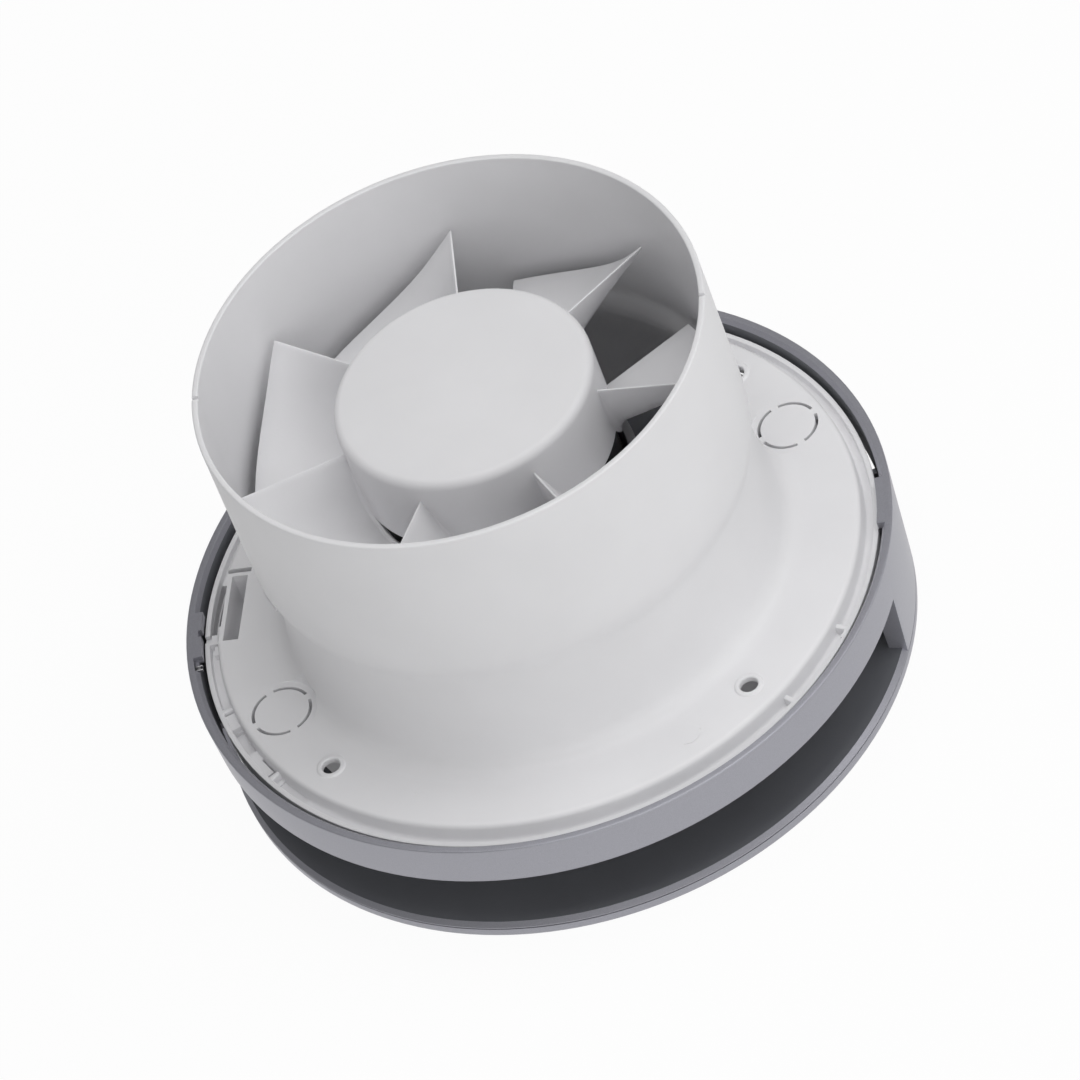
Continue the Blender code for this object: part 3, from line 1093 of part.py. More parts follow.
def build_leads(brown, blue):
    """Make the motor's two leads, from its lid under an arm and through the neck to the board."""
    below_cup = CUP_BOTTOM - LEAD_DROP
    under_arm = BRACKET_TOP - 0.5 * BRACKET_PLATE - ARM_WEB_DEPTH - FIT - LEAD_RADIUS
    for name, side, finish in (("motor_lead_live", 1, brown), ("motor_lead_neutral", -1, blue)):
        x = side * (LEAD_RADIUS + 0.5 * FIT)
        wall_x = side * (LEAD_RADIUS + LUG_RADIUS + LEAD_WALL_GAP)
        wall = [(wall_x, inlet_radius(z) - LEAD_RADIUS - LEAD_WALL_GAP, z)
                for z in (LUG_BOTTOM - 2.0 * MM, PLATE_TOP, WINDOW_LEVEL + 4.5 * MM)]
        out = side * (LEAD_WINDOW[0] * 0.25)
        points = [
            (x, LEAD_HOLE_OFFSET, MOTOR_BOTTOM - FIT),
            (x, LEAD_HOLE_OFFSET, CUP_BOTTOM + 0.5 * MM),
            (x, LEAD_HOLE_OFFSET + 3.0 * MM, below_cup),
            (x, CUP_RADIUS - 3.2 * MM, below_cup),
            (x, CUP_RADIUS + 5.0 * MM, 0.5 * (below_cup + under_arm)),
            (x, CUP_RADIUS + 10.0 * MM, under_arm),
            (x, THROAT_RADIUS - 10.8 * MM, under_arm - 1.0 * MM),
            (0.7 * wall_x, THROAT_RADIUS - 6.3 * MM, under_arm - 5.0 * MM),
            *wall,
            (out, inlet_radius(WINDOW_LEVEL) + 0.2 * MM, WINDOW_LEVEL),
            (out, CHAMBER_INNER - 0.7 * MM, WINDOW_LEVEL + 0.3 * MM),
            (out, CHAMBER_INNER + 2.0 * MM, WINDOW_LEVEL + 1.6 * MM),
            (out, CHAMBER_INNER + 2.8 * MM, BOARD_BOTTOM - 2 * FIT),
        ]
        lead(name, points, finish)

    on_lid = LID_TOP + FIT + LEAD_RADIUS
    exit_angle = TERMINAL_ANGLE + math.atan(0.5 * TERMINAL_LENGTH / FITTING_CIRCLE_RADIUS)
    into_board = BOARD_ANGLE - BOARD_HALF_ANGLE + math.radians(13.0)
    for name, inset, finish in (("supply_lead_live", 0.0, brown), ("supply_lead_neutral", LEAD_PITCH, blue)):
        radius = CHAMBER_OUTER - LEAD_LID_INSET - inset
        start = polar(FITTING_CIRCLE_RADIUS, TERMINAL_ANGLE, TERMINAL_TOP - TERMINAL_HEIGHT + 2.2 * MM)
        along = Matrix.Rotation(TERMINAL_ANGLE, 3, "Z") @ Vector((0.0, 1.0, 0.0))
        across = Matrix.Rotation(TERMINAL_ANGLE, 3, "Z") @ Vector((1.0, 0.0, 0.0))
        start += along * (0.5 * TERMINAL_LENGTH + FIT) + across * (2.4 * MM - inset)
        points = [start, start + along * 3.0 * MM - Vector((0.0, 0.0, 0.6 * MM))]
        for turn in range(9, 58, 8):
            points.append(polar(radius, exit_angle + math.radians(turn), on_lid))
        points.append(polar(radius - 1.0 * MM, into_board - math.radians(3.0), on_lid + 2.0 * MM))
        points.append(polar(radius - 2.0 * MM, into_board, BOARD_BOTTOM - 1.5 * MM))
        points.append(polar(radius - 2.0 * MM, into_board, BOARD_BOTTOM - 2 * FIT))
        lead(name, points, finish)


def build_fan():
    """Make every sub-part of the fan."""
    white = material("white_abs", (0.68, 0.68, 0.68), 0.4)
    silver = material("silver_paint", (0.33, 0.33, 0.36), 0.38, 0.6)
    black = material("black_plastic", (0.02, 0.02, 0.022), 0.5)
    steel = material("steel", (0.5, 0.5, 0.5), 0.3, 1.0)
    copper = material("copper_winding", (0.6, 0.25, 0.1), 0.4, 1.0)
    bronze = material("bronze", (0.5, 0.33, 0.14), 0.45, 1.0)
    brass = material("brass", (0.7, 0.55, 0.25), 0.3, 1.0)
    rubber = material("rubber", (0.03, 0.03, 0.03), 0.8)
    green = material("circuit_board", (0.03, 0.16, 0.06), 0.5)
    blue = material("blue_insulation", (0.03, 0.1, 0.4), 0.4)
    brown = material("brown_insulation", (0.16, 0.07, 0.03), 0.4)

    impeller_axis = bpy.data.objects.new("impeller_axis", None)
    cover_slide = bpy.data.objects.new("cover_slide", None)
    for empty in (impeller_axis, cover_slide):
        bpy.context.scene.collection.objects.link(empty)

    build_base(white)
    build_cover(silver, cover_slide)
    build_bracket(white, steel)
    build_motor(black, steel, copper, bronze, rubber, impeller_axis)
    build_impeller(white, steel, impeller_axis)
    build_board(green, blue, steel)
    build_terminals(white, brass, steel)
    build_lid(white, steel)
    build_leads(brown, blue)


for old in list(bpy.data.objects):
    bpy.data.objects.remove(old, do_unlink=True)
build_fan()
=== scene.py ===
"""Dressed model of a round bathroom exhaust fan, standing on its front panel.

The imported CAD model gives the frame. The visible mouldings are modelled again here with their full
curves and small details, and every other node gets its finish. Sizes are in millimetres, and the
modelling tools and shaders turn them into metres.
"""
from __future__ import annotations

import json
import logging
import math
from dataclasses import dataclass
from enum import Enum
from typing import Iterable, Sequence

import bpy
from mathutils import Matrix, Vector

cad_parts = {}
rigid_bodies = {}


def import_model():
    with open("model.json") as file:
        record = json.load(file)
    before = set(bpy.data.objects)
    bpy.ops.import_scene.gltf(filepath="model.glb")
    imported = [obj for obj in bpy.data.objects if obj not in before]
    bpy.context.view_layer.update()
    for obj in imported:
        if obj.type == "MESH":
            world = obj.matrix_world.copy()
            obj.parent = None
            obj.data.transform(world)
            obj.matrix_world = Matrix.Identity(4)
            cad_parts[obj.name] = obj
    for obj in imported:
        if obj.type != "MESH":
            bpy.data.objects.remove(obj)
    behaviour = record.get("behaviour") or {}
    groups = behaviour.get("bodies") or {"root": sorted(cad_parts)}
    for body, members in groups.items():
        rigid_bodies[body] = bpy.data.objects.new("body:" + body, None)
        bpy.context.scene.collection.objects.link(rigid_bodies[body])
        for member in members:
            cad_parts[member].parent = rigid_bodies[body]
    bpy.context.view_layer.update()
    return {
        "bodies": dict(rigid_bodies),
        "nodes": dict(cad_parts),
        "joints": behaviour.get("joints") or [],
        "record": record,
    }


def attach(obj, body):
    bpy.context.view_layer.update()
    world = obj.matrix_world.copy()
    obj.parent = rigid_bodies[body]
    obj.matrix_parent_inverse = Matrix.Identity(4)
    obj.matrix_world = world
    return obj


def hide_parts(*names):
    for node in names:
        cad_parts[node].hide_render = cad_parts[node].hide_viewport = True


LOG = logging.getLogger("exhaust_fan")
MM = 0.001
ARC_STEPS = 4
MERGE = 0.002 * MM
POCKET_LEAN = -6.2
QUARTERS = (90.0, 180.0, 270.0)
SIDES = (0.0, 180.0)

Point = tuple[float, float]
Colour = tuple[float, float, float]


class Body(Enum):
    """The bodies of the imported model."""

    BASE = "base"
    COVER = "cover"
    IMPELLER = "impeller_and_shaft"


class Cut(Enum):
    """What a Boolean does with its tool."""

    ADD = "UNION"
    REMOVE = "DIFFERENCE"


class Slot(Enum):
    """Material slots of the record, passed with the new pieces."""

    WHITE = "white_plastic"
    SILVER = "silver_plastic"
    BLACK = "black_plastic"
    STEEL = "steel"


@dataclass(frozen=True)
class Corner:
    """A corner of an outline turned round the fan's axis."""

    r: float
    z: float
    fillet: float = 0.0


@dataclass(frozen=True)
class Sector:
    """Part of a square-edged ring: radii and levels in millimetres, angles in degrees."""

    inner: float
    outer: float
    low: float
    high: float
    start: float
    end: float


def polar(radius: float, degrees: float, z: float = 0.0) -> Vector:
    """Find the point at a radius, an angle from +X towards +Y, and a level."""
    angle = math.radians(degrees)
    return Vector((radius * math.cos(angle), radius * math.sin(angle), z))


def shade(colour: Colour, factor: float) -> Colour:
    """Make a colour lighter or darker."""
    return tuple(min(1.0, channel * factor) for channel in colour)


def drum(radius: float, low: float, high: float) -> list[Point]:
    """Draw half the section of a round bar."""
    return [(0.0, low), (radius, low), (radius, high), (0.0, high)]


def rounded(corners: Sequence[Corner], closed: bool = True) -> list[Point]:
    """Turn an outline's corners into points, with an arc at each filleted corner.

    Args:
        corners: The corners in order.
        closed: Whether the last corner runs on to the first.

    Returns:
        The (r, z) points.
    """
    points: list[Point] = []
    count = len(corners)
    for index, corner in enumerate(corners):
        here = Vector((corner.r, corner.z))
        inner = closed or 0 < index < count - 1
        if corner.fillet <= 0.0 or not inner:
            points.append((here.x, here.y))
            continue
        before = corners[index - 1]
        after = corners[(index + 1) % count]
        back = Vector((before.r, before.z)) - here
        ahead = Vector((after.r, after.z)) - here
        half = 0.5 * back.angle(ahead)
        reach = corner.fillet / math.tan(half)
        reach = min(reach, 0.49 * back.length, 0.49 * ahead.length)
        start = here + back.normalized() * reach
        end = here + ahead.normalized() * reach
        for step in range(ARC_STEPS + 1):
            share = step / ARC_STEPS
            bend = start.lerp(here, share).lerp(here.lerp(end, share), share)
            points.append((bend.x, bend.y))
    return points


class Value:
    """A shader socket that takes arithmetic, each sign adding a Math node."""

    def __init__(self, shader: Shader, socket: bpy.types.NodeSocket) -> None:
        """Wrap an output socket of a shader."""
        self.shader = shader
        self.socket = socket

    def _maths(self, operation: str, *terms: Value | float) -> Value:
        """Add one Math node on the terms in order."""
        return self.shader.add("ShaderNodeMath", {"operation": operation}, dict(enumerate(terms)))

    def __add__(self, other: Value | float) -> Value:
        """Add a value."""
        return self._maths("ADD", self, other)

    def __radd__(self, other: float) -> Value:
        """Add to a number."""
        return self._maths("ADD", other, self)

    def __sub__(self, other: Value | float) -> Value:
        """Take a value away."""
        return self._maths("SUBTRACT", self, other)

    def __rsub__(self, other: float) -> Value:
        """Take away from a number."""
        return self._maths("SUBTRACT", other, self)

    def __mul__(self, other: Value | float) -> Value:
        """Multiply by a value."""
        return self._maths("MULTIPLY", self, other)

    def __rmul__(self, other: float) -> Value:
        """Multiply a number."""
        return self._maths("MULTIPLY", other, self)

    def over(self, low: float, high: float) -> Value:
        """Scale a range to 0..1 and hold it there."""
        settings = {"clamp": True}
        return self.shader.add("ShaderNodeMapRange", settings, {"Value": self, "From Min": low, "From Max": high})


class Shader:
    """A material's node tree, written as expressions."""

    def __init__(self, name: str) -> None:
        """Start a material with a Principled shader.

        Args:
            name: The material's name.
        """
        self.material = bpy.data.materials.new(name)
        self.material.use_nodes = True
        self.tree = self.material.node_tree
        self.surface = self.tree.nodes["Principled BSDF"]

    def add(
        self,
        kind: str,
        settings: dict | None = None,
        inputs: dict | None = None,
        output: int | str = 0,
    ) -> Value:
        """Add a node.

        Args:
            kind: The node's type.
            settings: Its settings.
            inputs: Values or links, by socket name or number.
            output: Which output to give back.

        Returns:
            The output.
        """
        node = self.tree.nodes.new(kind)
        for name, setting in (settings or {}).items():
            setattr(node, name, setting)
        for name, value in (inputs or {}).items():
            self.feed(node.inputs[name], value)
        return Value(self, node.outputs[output])

    def feed(self, socket: bpy.types.NodeSocket, value: Value | float | Sequence[float]) -> None:
        """Link or set one input.

        Args:
            socket: The input.
            value: A value to link, or a number or colour to set.
        """
        if isinstance(value, Value):
            self.tree.links.new(value.socket, socket)
        elif isinstance(value, (int, float)):
            socket.default_value = value
        else:
            socket.default_value = (*value, 1.0) if len(value) < len(socket.default_value) else value

    def set(self, name: str, value: Value | float | Sequence[float]) -> None:
        """Feed an input of the Principled shader."""
        self.feed(self.surface.inputs[name], value)

    def place(self, scale: Sequence[float] = (1.0, 1.0, 1.0)) -> Value:
        """Read the place on the piece, stretched along each axis."""
        spot = self.add("ShaderNodeTexCoord", output="Object")
        return self.add("ShaderNodeMapping", {"vector_type": "POINT"}, {"Vector": spot, "Scale": tuple(scale)})

    def noise(self, place: Value, size: float, detail: float = 2.0) -> Value:
        """Read soft noise, about 0.5 on average, with clouds of a size in millimetres."""
        sizes = {"Vector": place, "Scale": 1.0 / (size * MM), "Detail": detail}
        return self.add("ShaderNodeTexNoise", None, sizes, "Fac")

    def blend(self, share: Value | float, low: Value | Colour, high: Value | Colour) -> Value:
        """Mix two colours by the share of the second."""
        inputs = {"Factor": share, 6: low, 7: high}
        return self.add("ShaderNodeMix", {"data_type": "RGBA"}, inputs, 2)

    def relief(self, height: Value, depth: float) -> None:
        """Feed a bump to the shader's normal, where a height of 1 is a depth in millimetres."""
        bump = self.add("ShaderNodeBump", None, {"Distance": depth * MM, "Height": height})
        self.set("Normal", bump)


@dataclass(frozen=True)
class Moulding:
    """Injection-moulded plastic: even colour, faint flow clouds and a fine mould texture."""

    name: str
    colour: Colour
    roughness: float
    clouds: float = 0.02
    grain: float = 0.012
    grain_size: float = 0.45

    def make(self) -> bpy.types.Material:
        """Build the material.

        Returns:
            The material.
        """
        shader = Shader(self.name)
        place = shader.place()
        flow = shader.noise(place, 28, 3.0)
        haze = shader.noise(place, 6, 2.0)
        dark, light = shade(self.colour, 1.0 - self.clouds), shade(self.colour, 1.0 + self.clouds)
        shader.set("Base Color", shader.blend(flow.over(0.3, 0.7), dark, light))
        shader.set("Roughness", self.roughness + 0.05 * (haze - 0.5) + 0.04 * (flow - 0.5))
        shader.set("IOR", 1.47)
        shader.relief(shader.noise(place, self.grain_size, 2.0), self.grain)
        return shader.material


@dataclass(frozen=True)
class MetallicPaint:
    """Silver paint on plastic: fine flake under a satin clear coat."""

    name: str
    colour: Colour
    roughness: float
    metallic: float = 0.55
    flake: float = 0.10

    def make(self) -> bpy.types.Material:
        """Build the material.

        Returns:
            The material.
        """
        shader = Shader(self.name)
        place = shader.place()
        flakes = shader.noise(place, 0.22, 1.0)
        drift = shader.noise(place, 22, 3.0)
        dark, light = shade(self.colour, 1.0 - self.flake), shade(self.colour, 1.0 + self.flake)
        share = flakes.over(0.25, 0.75) * 0.8 + drift * 0.2
        shader.set("Base Color", shader.blend(share, dark, light))
        shader.set("Metallic", self.metallic)
        shader.set("Roughness", self.roughness + 0.06 * (drift - 0.5) + 0.05 * (flakes - 0.5))
        shader.relief(shader.noise(place, 0.6, 2.0), 0.006)
        return shader.material


@dataclass(frozen=True)
class Metal:
    """Bare metal with fine turning or rolling marks along one axis."""

    name: str
    colour: Colour
    roughness: float
    marks: Sequence[float] = (1.0, 1.0, 14.0)

    def make(self) -> bpy.types.Material:
        """Build the material.

        Returns:
            The material.
        """
        shader = Shader(self.name)
        streaks = shader.noise(shader.place(self.marks), 1.6, 3.0)
        dull = shader.noise(shader.place(), 7, 3.0)
        shader.set("Base Color", shader.blend(dull.over(0.3, 0.75), shade(self.colour, 0.78), self.colour))
        shader.set("Metallic", 1.0)
        shader.set("Roughness", self.roughness + 0.12 * (streaks - 0.5) + 0.10 * (dull - 0.5))
        shader.relief(streaks, 0.01)
        return shader.material


@dataclass(frozen=True)
class Winding:
    """Enamelled copper wire wound in even turns."""

    name: str
    colour: Colour
    wire: float = 0.35

    def make(self) -> bpy.types.Material:
        """Build the material.

        Returns:
            The material.
        """
        shader = Shader(self.name)
        place = shader.place()
        wave = {"wave_type": "BANDS", "bands_direction": "Z"}
        sizes = {"Vector": place, "Scale": 0.05 / (self.wire * MM), "Distortion": 0.6}
        turns = shader.add("ShaderNodeTexWave", wave, sizes, "Fac")
        # The colour drops to painted shade in the grooves between the turns.
        shader.set("Base Color", shader.blend(turns, shade(self.colour, 0.35), self.colour))
        shader.set("Metallic", 0.9)
        shader.set("Roughness", 0.3 + 0.15 * shader.noise(place, 4))
        shader.relief(turns, 0.5 * self.wire)
        return shader.material


@dataclass(frozen=True)
class Laminate:
    """Circuit-board laminate: green lacquer over a faint track pattern."""

    name: str
    colour: Colour
    track: Colour

    def make(self) -> bpy.types.Material:
        """Build the material.

        Returns:
            The material.
        """
        shader = Shader(self.name)
        place = shader.place()
        sizes = {"Vector": place, "Scale": 1.0 / (3.5 * MM)}
        cells = shader.add("ShaderNodeTexVoronoi", {"distance": "MANHATTAN"}, sizes)
        tracks = cells.over(0.42, 0.46)
        shader.set("Base Color", shader.blend(tracks, self.colour, self.track))
        shader.set("Roughness", 0.38 + 0.1 * shader.noise(place, 5))
        shader.relief(tracks, 0.03)
        return shader.material


@dataclass(frozen=True)
class Rubber:
    """Black rubber with a dusty bloom."""

    name: str
    colour: Colour

    def make(self) -> bpy.types.Material:
        """Build the material.

        Returns:
            The material.
        """
        shader = Shader(self.name)
        place = shader.place()
        bloom = shader.noise(place, 3, 4.0)
        pale = tuple(channel * 2.2 + 0.01 for channel in self.colour)
        shader.set("Base Color", shader.blend(bloom.over(0.45, 0.8), self.colour, pale))
        shader.set("Roughness", 0.7 + 0.15 * bloom)
        shader.relief(shader.noise(place, 0.5), 0.02)
        return shader.material


class Bench:
    """Blender's modelling tools, used on one piece at a time."""

    @staticmethod
    def clear() -> None:
        """Leave edit mode and deselect everything."""
        if bpy.context.object is not None and bpy.context.object.mode != "OBJECT":
            bpy.ops.object.mode_set(mode="OBJECT")
        bpy.ops.object.select_all(action="DESELECT")

    @staticmethod
    def pick(pieces: Iterable[bpy.types.Object]) -> None:
        """Select some pieces, the first of them active.

        Args:
            pieces: The pieces.
        """
        Bench.clear()
        chosen = list(pieces)
        for piece in chosen:
            piece.select_set(True)
        bpy.context.view_layer.objects.active = chosen[0]

    @staticmethod
    def edit(piece: bpy.types.Object) -> None:
        """Open a piece in edit mode with all of it selected.

        Args:
            piece: The piece.
        """
        Bench.pick([piece])
        bpy.ops.object.mode_set(mode="EDIT")
        bpy.ops.mesh.select_all(action="SELECT")

    @staticmethod
    def moved(piece: bpy.types.Object, by: Vector) -> bpy.types.Object:
        """Move a piece and leave its object at the origin.

        Args:
            piece: The piece.
            by: How far.

        Returns:
            The piece.
        """
        Bench.pick([piece])
        bpy.ops.transform.translate(value=by * MM)
        bpy.ops.object.transform_apply(location=True, rotation=True, scale=True)
        return piece

    @staticmethod
    def modified(piece: bpy.types.Object, kind: str, **settings: object) -> bpy.types.Object:
        """Put a modifier on a piece and apply it.

        Args:
            piece: The piece.
            kind: The modifier's type.
            settings: Its settings.

        Returns:
            The piece.
        """
        Bench.pick([piece])
        step = piece.modifiers.new(kind.title(), kind)
        for name, setting in settings.items():
            setattr(step, name, setting)
        bpy.ops.object.modifier_apply(modifier=step.name)
        return piece

    @staticmethod
    def chain(name: str, points: Sequence[Vector]) -> bpy.types.Object:
        """Draw a line of edges by extruding one vertex from point to point.

        Args:
            name: The piece's name.
            points: The points in order.

        Returns:
            The piece, left in edit mode with its last vertex selected.
        """
        Bench.clear()
        bpy.ops.mesh.primitive_plane_add(size=MM)
        piece = bpy.context.object
        piece.name = name
        bpy.ops.object.mode_set(mode="EDIT")
        bpy.ops.mesh.select_all(action="SELECT")
        bpy.ops.mesh.merge(type="CENTER")
        bpy.ops.transform.translate(value=points[0] * MM)
        for here, there in zip(points, points[1:]):
            step = {"value": (there - here) * MM}
            bpy.ops.mesh.extrude_region_move(TRANSFORM_OT_translate=step)
        return piece

    @staticmethod
    def skin(name: str, lines: Sequence[Sequence[Vector]], cuts: int) -> bpy.types.Object:
        """Bridge neighbouring lines into one surface.

        Args:
            name: The piece's name.
            lines: The points of each line.
            cuts: Rows added between two lines.

        Returns:
            The surface.
        """
        surface = Bench.joined(name, [Bench.chain(name, line) for line in lines])
        Bench.edit(surface)
        bpy.ops.mesh.bridge_edge_loops(type="SINGLE", number_cuts=cuts, interpolation="LINEAR")
        bpy.ops.object.mode_set(mode="OBJECT")
        return surface

    @staticmethod
    def turned(
        name: str,
        outline: Sequence[Point],
        steps: int = 160,
        closed: bool = True,
        start: float = 0.0,
        sweep: float = 360.0,
    ) -> bpy.types.Object:
        """Spin an outline round the fan's axis.

        Args:
            name: The piece's name.
            outline: The (r, z) points.
            steps: Segments of a whole turn.
            closed: Whether the outline runs back to its start.
            start: Where the sweep starts, in degrees.
            sweep: How far it goes, in degrees.

        Returns:
            The piece, smooth-shaded.
        """
        points = [polar(r, start, z) for r, z in outline]
        if closed:
            points.append(points[0].copy())
        piece = Bench.chain(name, points)
        bpy.ops.mesh.select_all(action="SELECT")
        bpy.ops.mesh.remove_doubles(threshold=MERGE)
        whole = sweep > 359.99
        count = steps if whole else max(2, round(steps * sweep / 360.0))
        bpy.ops.mesh.spin(steps=count, angle=-math.radians(sweep), center=(0, 0, 0), axis=(0, 0, 1))
        bpy.ops.mesh.select_all(action="SELECT")
        bpy.ops.mesh.remove_doubles(threshold=MERGE)
        if not whole:
            bpy.ops.mesh.select_all(action="DESELECT")
            bpy.ops.mesh.select_non_manifold()
            bpy.ops.mesh.fill_holes(sides=0)
            bpy.ops.mesh.select_all(action="SELECT")
        bpy.ops.mesh.normals_make_consistent(inside=False)
        return Bench.finished(piece)

    @staticmethod
    def sector(
        name: str,
        part: Sector,
        steps: int = 160,
        turn: float = 0.0,
        centre: Vector | None = None,
    ) -> bpy.types.Object:
        """Make part of a square-edged ring.

        Args:
            name: The piece's name.
            part: Its sizes.
            steps: Segments of a whole turn.
            turn: Angle added to its own, in degrees.
            centre: Where its axis stands, if not on the fan's.

        Returns:
            The piece.
        """
        outline = [(part.inner, part.low), (part.outer, part.low), (part.outer, part.high), (part.inner, part.high)]
        piece = Bench.turned(name, outline, steps, True, part.start + turn, part.end - part.start)
        return piece if centre is None else Bench.moved(piece, centre)

    @staticmethod
    def block(
        name: str,
        size: Sequence[float],
        centre: Sequence[float],
        degrees: float = 0.0,
        edge: float = 0.0,
    ) -> bpy.types.Object:
        """Make a box with bevelled edges, turned to face out along an angle.

        Args:
            name: The piece's name.
            size: Its size out from the axis, round it and along it.
            centre: Its centre before it is turned round the axis.
            degrees: Angle round the fan's axis.
            edge: Width of the bevel.

        Returns:
            The piece.
        """
        Bench.clear()
        turn = Matrix.Rotation(math.radians(degrees), 3, "Z")
        place, scale = turn @ Vector(centre) * MM, Vector(size) * MM
        bpy.ops.mesh.primitive_cube_add(size=1.0, location=place, rotation=turn.to_euler(), scale=scale)
        piece = bpy.context.object
        piece.name = name
        bpy.ops.object.transform_apply(location=True, rotation=True, scale=True)
        if edge > 0.0:
            Bench.edit(piece)
            bpy.ops.mesh.bevel(offset=edge * MM, segments=2, affect="EDGES")
        return Bench.finished(piece)

    @staticmethod
    def peg(
        name: str,
        outline: Sequence[Point],
        at: Vector,
        sides: int = 32,
        closed: bool = False,
    ) -> bpy.types.Object:
        """Turn a small outline on its own axis and stand it at a place.

        Args:
            name: The piece's name.
            outline: The (r, z) points; an open one starts and ends on its axis.
            at: Where its axis stands.
            sides: Segments.
            closed: Whether the outline runs back to its start.

        Returns:
            The piece.
        """
        return Bench.moved(Bench.turned(name, outline, sides, closed), at)

    @staticmethod
    def finished(piece: bpy.types.Object, degrees: float = 30.0) -> bpy.types.Object:
        """Leave edit mode and shade a piece smooth up to an angle.

        Args:
            piece: The piece.
            degrees: The angle above which an edge stays sharp.

        Returns:
            The piece.
        """
        Bench.pick([piece])
        bpy.ops.object.shade_smooth_by_angle(angle=math.radians(degrees))
        return piece

    @staticmethod
    def copies(piece: bpy.types.Object, angles: Sequence[float]) -> list[bpy.types.Object]:
        """Copy a piece round the fan's axis, keeping the first where it is.

        Args:
            piece: The piece.
            angles: Turns from where it stands, in degrees.

        Returns:
            The piece and its copies.
        """
        made = [piece]
        for number, degrees in enumerate(angles, start=2):
            Bench.pick([piece])
            bpy.ops.object.duplicate(linked=False)
            twin = bpy.context.object
            twin.name = f"{piece.name}_{number}"
            Bench.edit(twin)
            bpy.ops.transform.rotate(value=-math.radians(degrees), orient_axis="Z", center_override=(0, 0, 0))
            bpy.ops.object.mode_set(mode="OBJECT")
            made.append(twin)
        return made

    @staticmethod
    def joined(name: str, pieces: Sequence[bpy.types.Object]) -> bpy.types.Object:
        """Join several shapes into one object.

        Args:
            name: The object's name.
            pieces: The shapes.

        Returns:
            The object.
        """
        Bench.pick(pieces)
        if len(pieces) > 1:
            bpy.ops.object.join()
        bpy.context.object.name = name
        return bpy.context.object

    @staticmethod
    def carve(piece: bpy.types.Object, tools: Sequence[bpy.types.Object], cut: Cut) -> bpy.types.Object:
        """Add shapes to a piece, or cut them out, and remove them.

        Args:
            piece: The piece.
            tools: The shapes, clear of each other.
            cut: Whether they are added or cut out.

        Returns:
            The piece.
        """
        tool = Bench.joined("tool", tools)
        Bench.modified(piece, "BOOLEAN", operation=cut.value, object=tool, solver="EXACT")
        bpy.data.objects.remove(tool, do_unlink=True)
        return Bench.finished(piece)

    @staticmethod
    def dress(
        piece: bpy.types.Object,
        finish: bpy.types.Material,
        body: Body,
        slot: Slot,
        nodes: Sequence[str] = (),
    ) -> bpy.types.Object:
        """Give a finished piece its material and its place in the frame.

        Args:
            piece: The piece.
            finish: Its material.
            body: The body that it rides on.
            slot: The record's slot for the piece's finish; not used.
            nodes: The CAD nodes that it stands for.

        Returns:
            The piece.
        """
        piece.data.materials.clear()
        piece.data.materials.append(finish)
        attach(piece, body.value)
        if nodes:
            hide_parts(*nodes)
        LOG.info("%s: %d faces, rides on %s", piece.name, len(piece.data.polygons), body.value)
        return piece


@dataclass(frozen=True)
class Block:
    """A box in millimetres, turned round the fan's axis by an angle in degrees."""

    size: Sequence[float]
    centre: Sequence[float]
    turn: float = 0.0
    edge: float = 0.0

    def make(self, name: str, degrees: float = 0.0) -> bpy.types.Object:
        """Model the box, turned some degrees further round the axis."""
        return Bench.block(name, self.size, self.centre, self.turn + degrees, self.edge)


@dataclass(frozen=True)
class Post:
    """A post under the plate: its place, lower end, radius and the depth of its pilot hole, in millimetres."""

    circle: float
    angle: float
    bottom: float
    radius: float
    depth: float


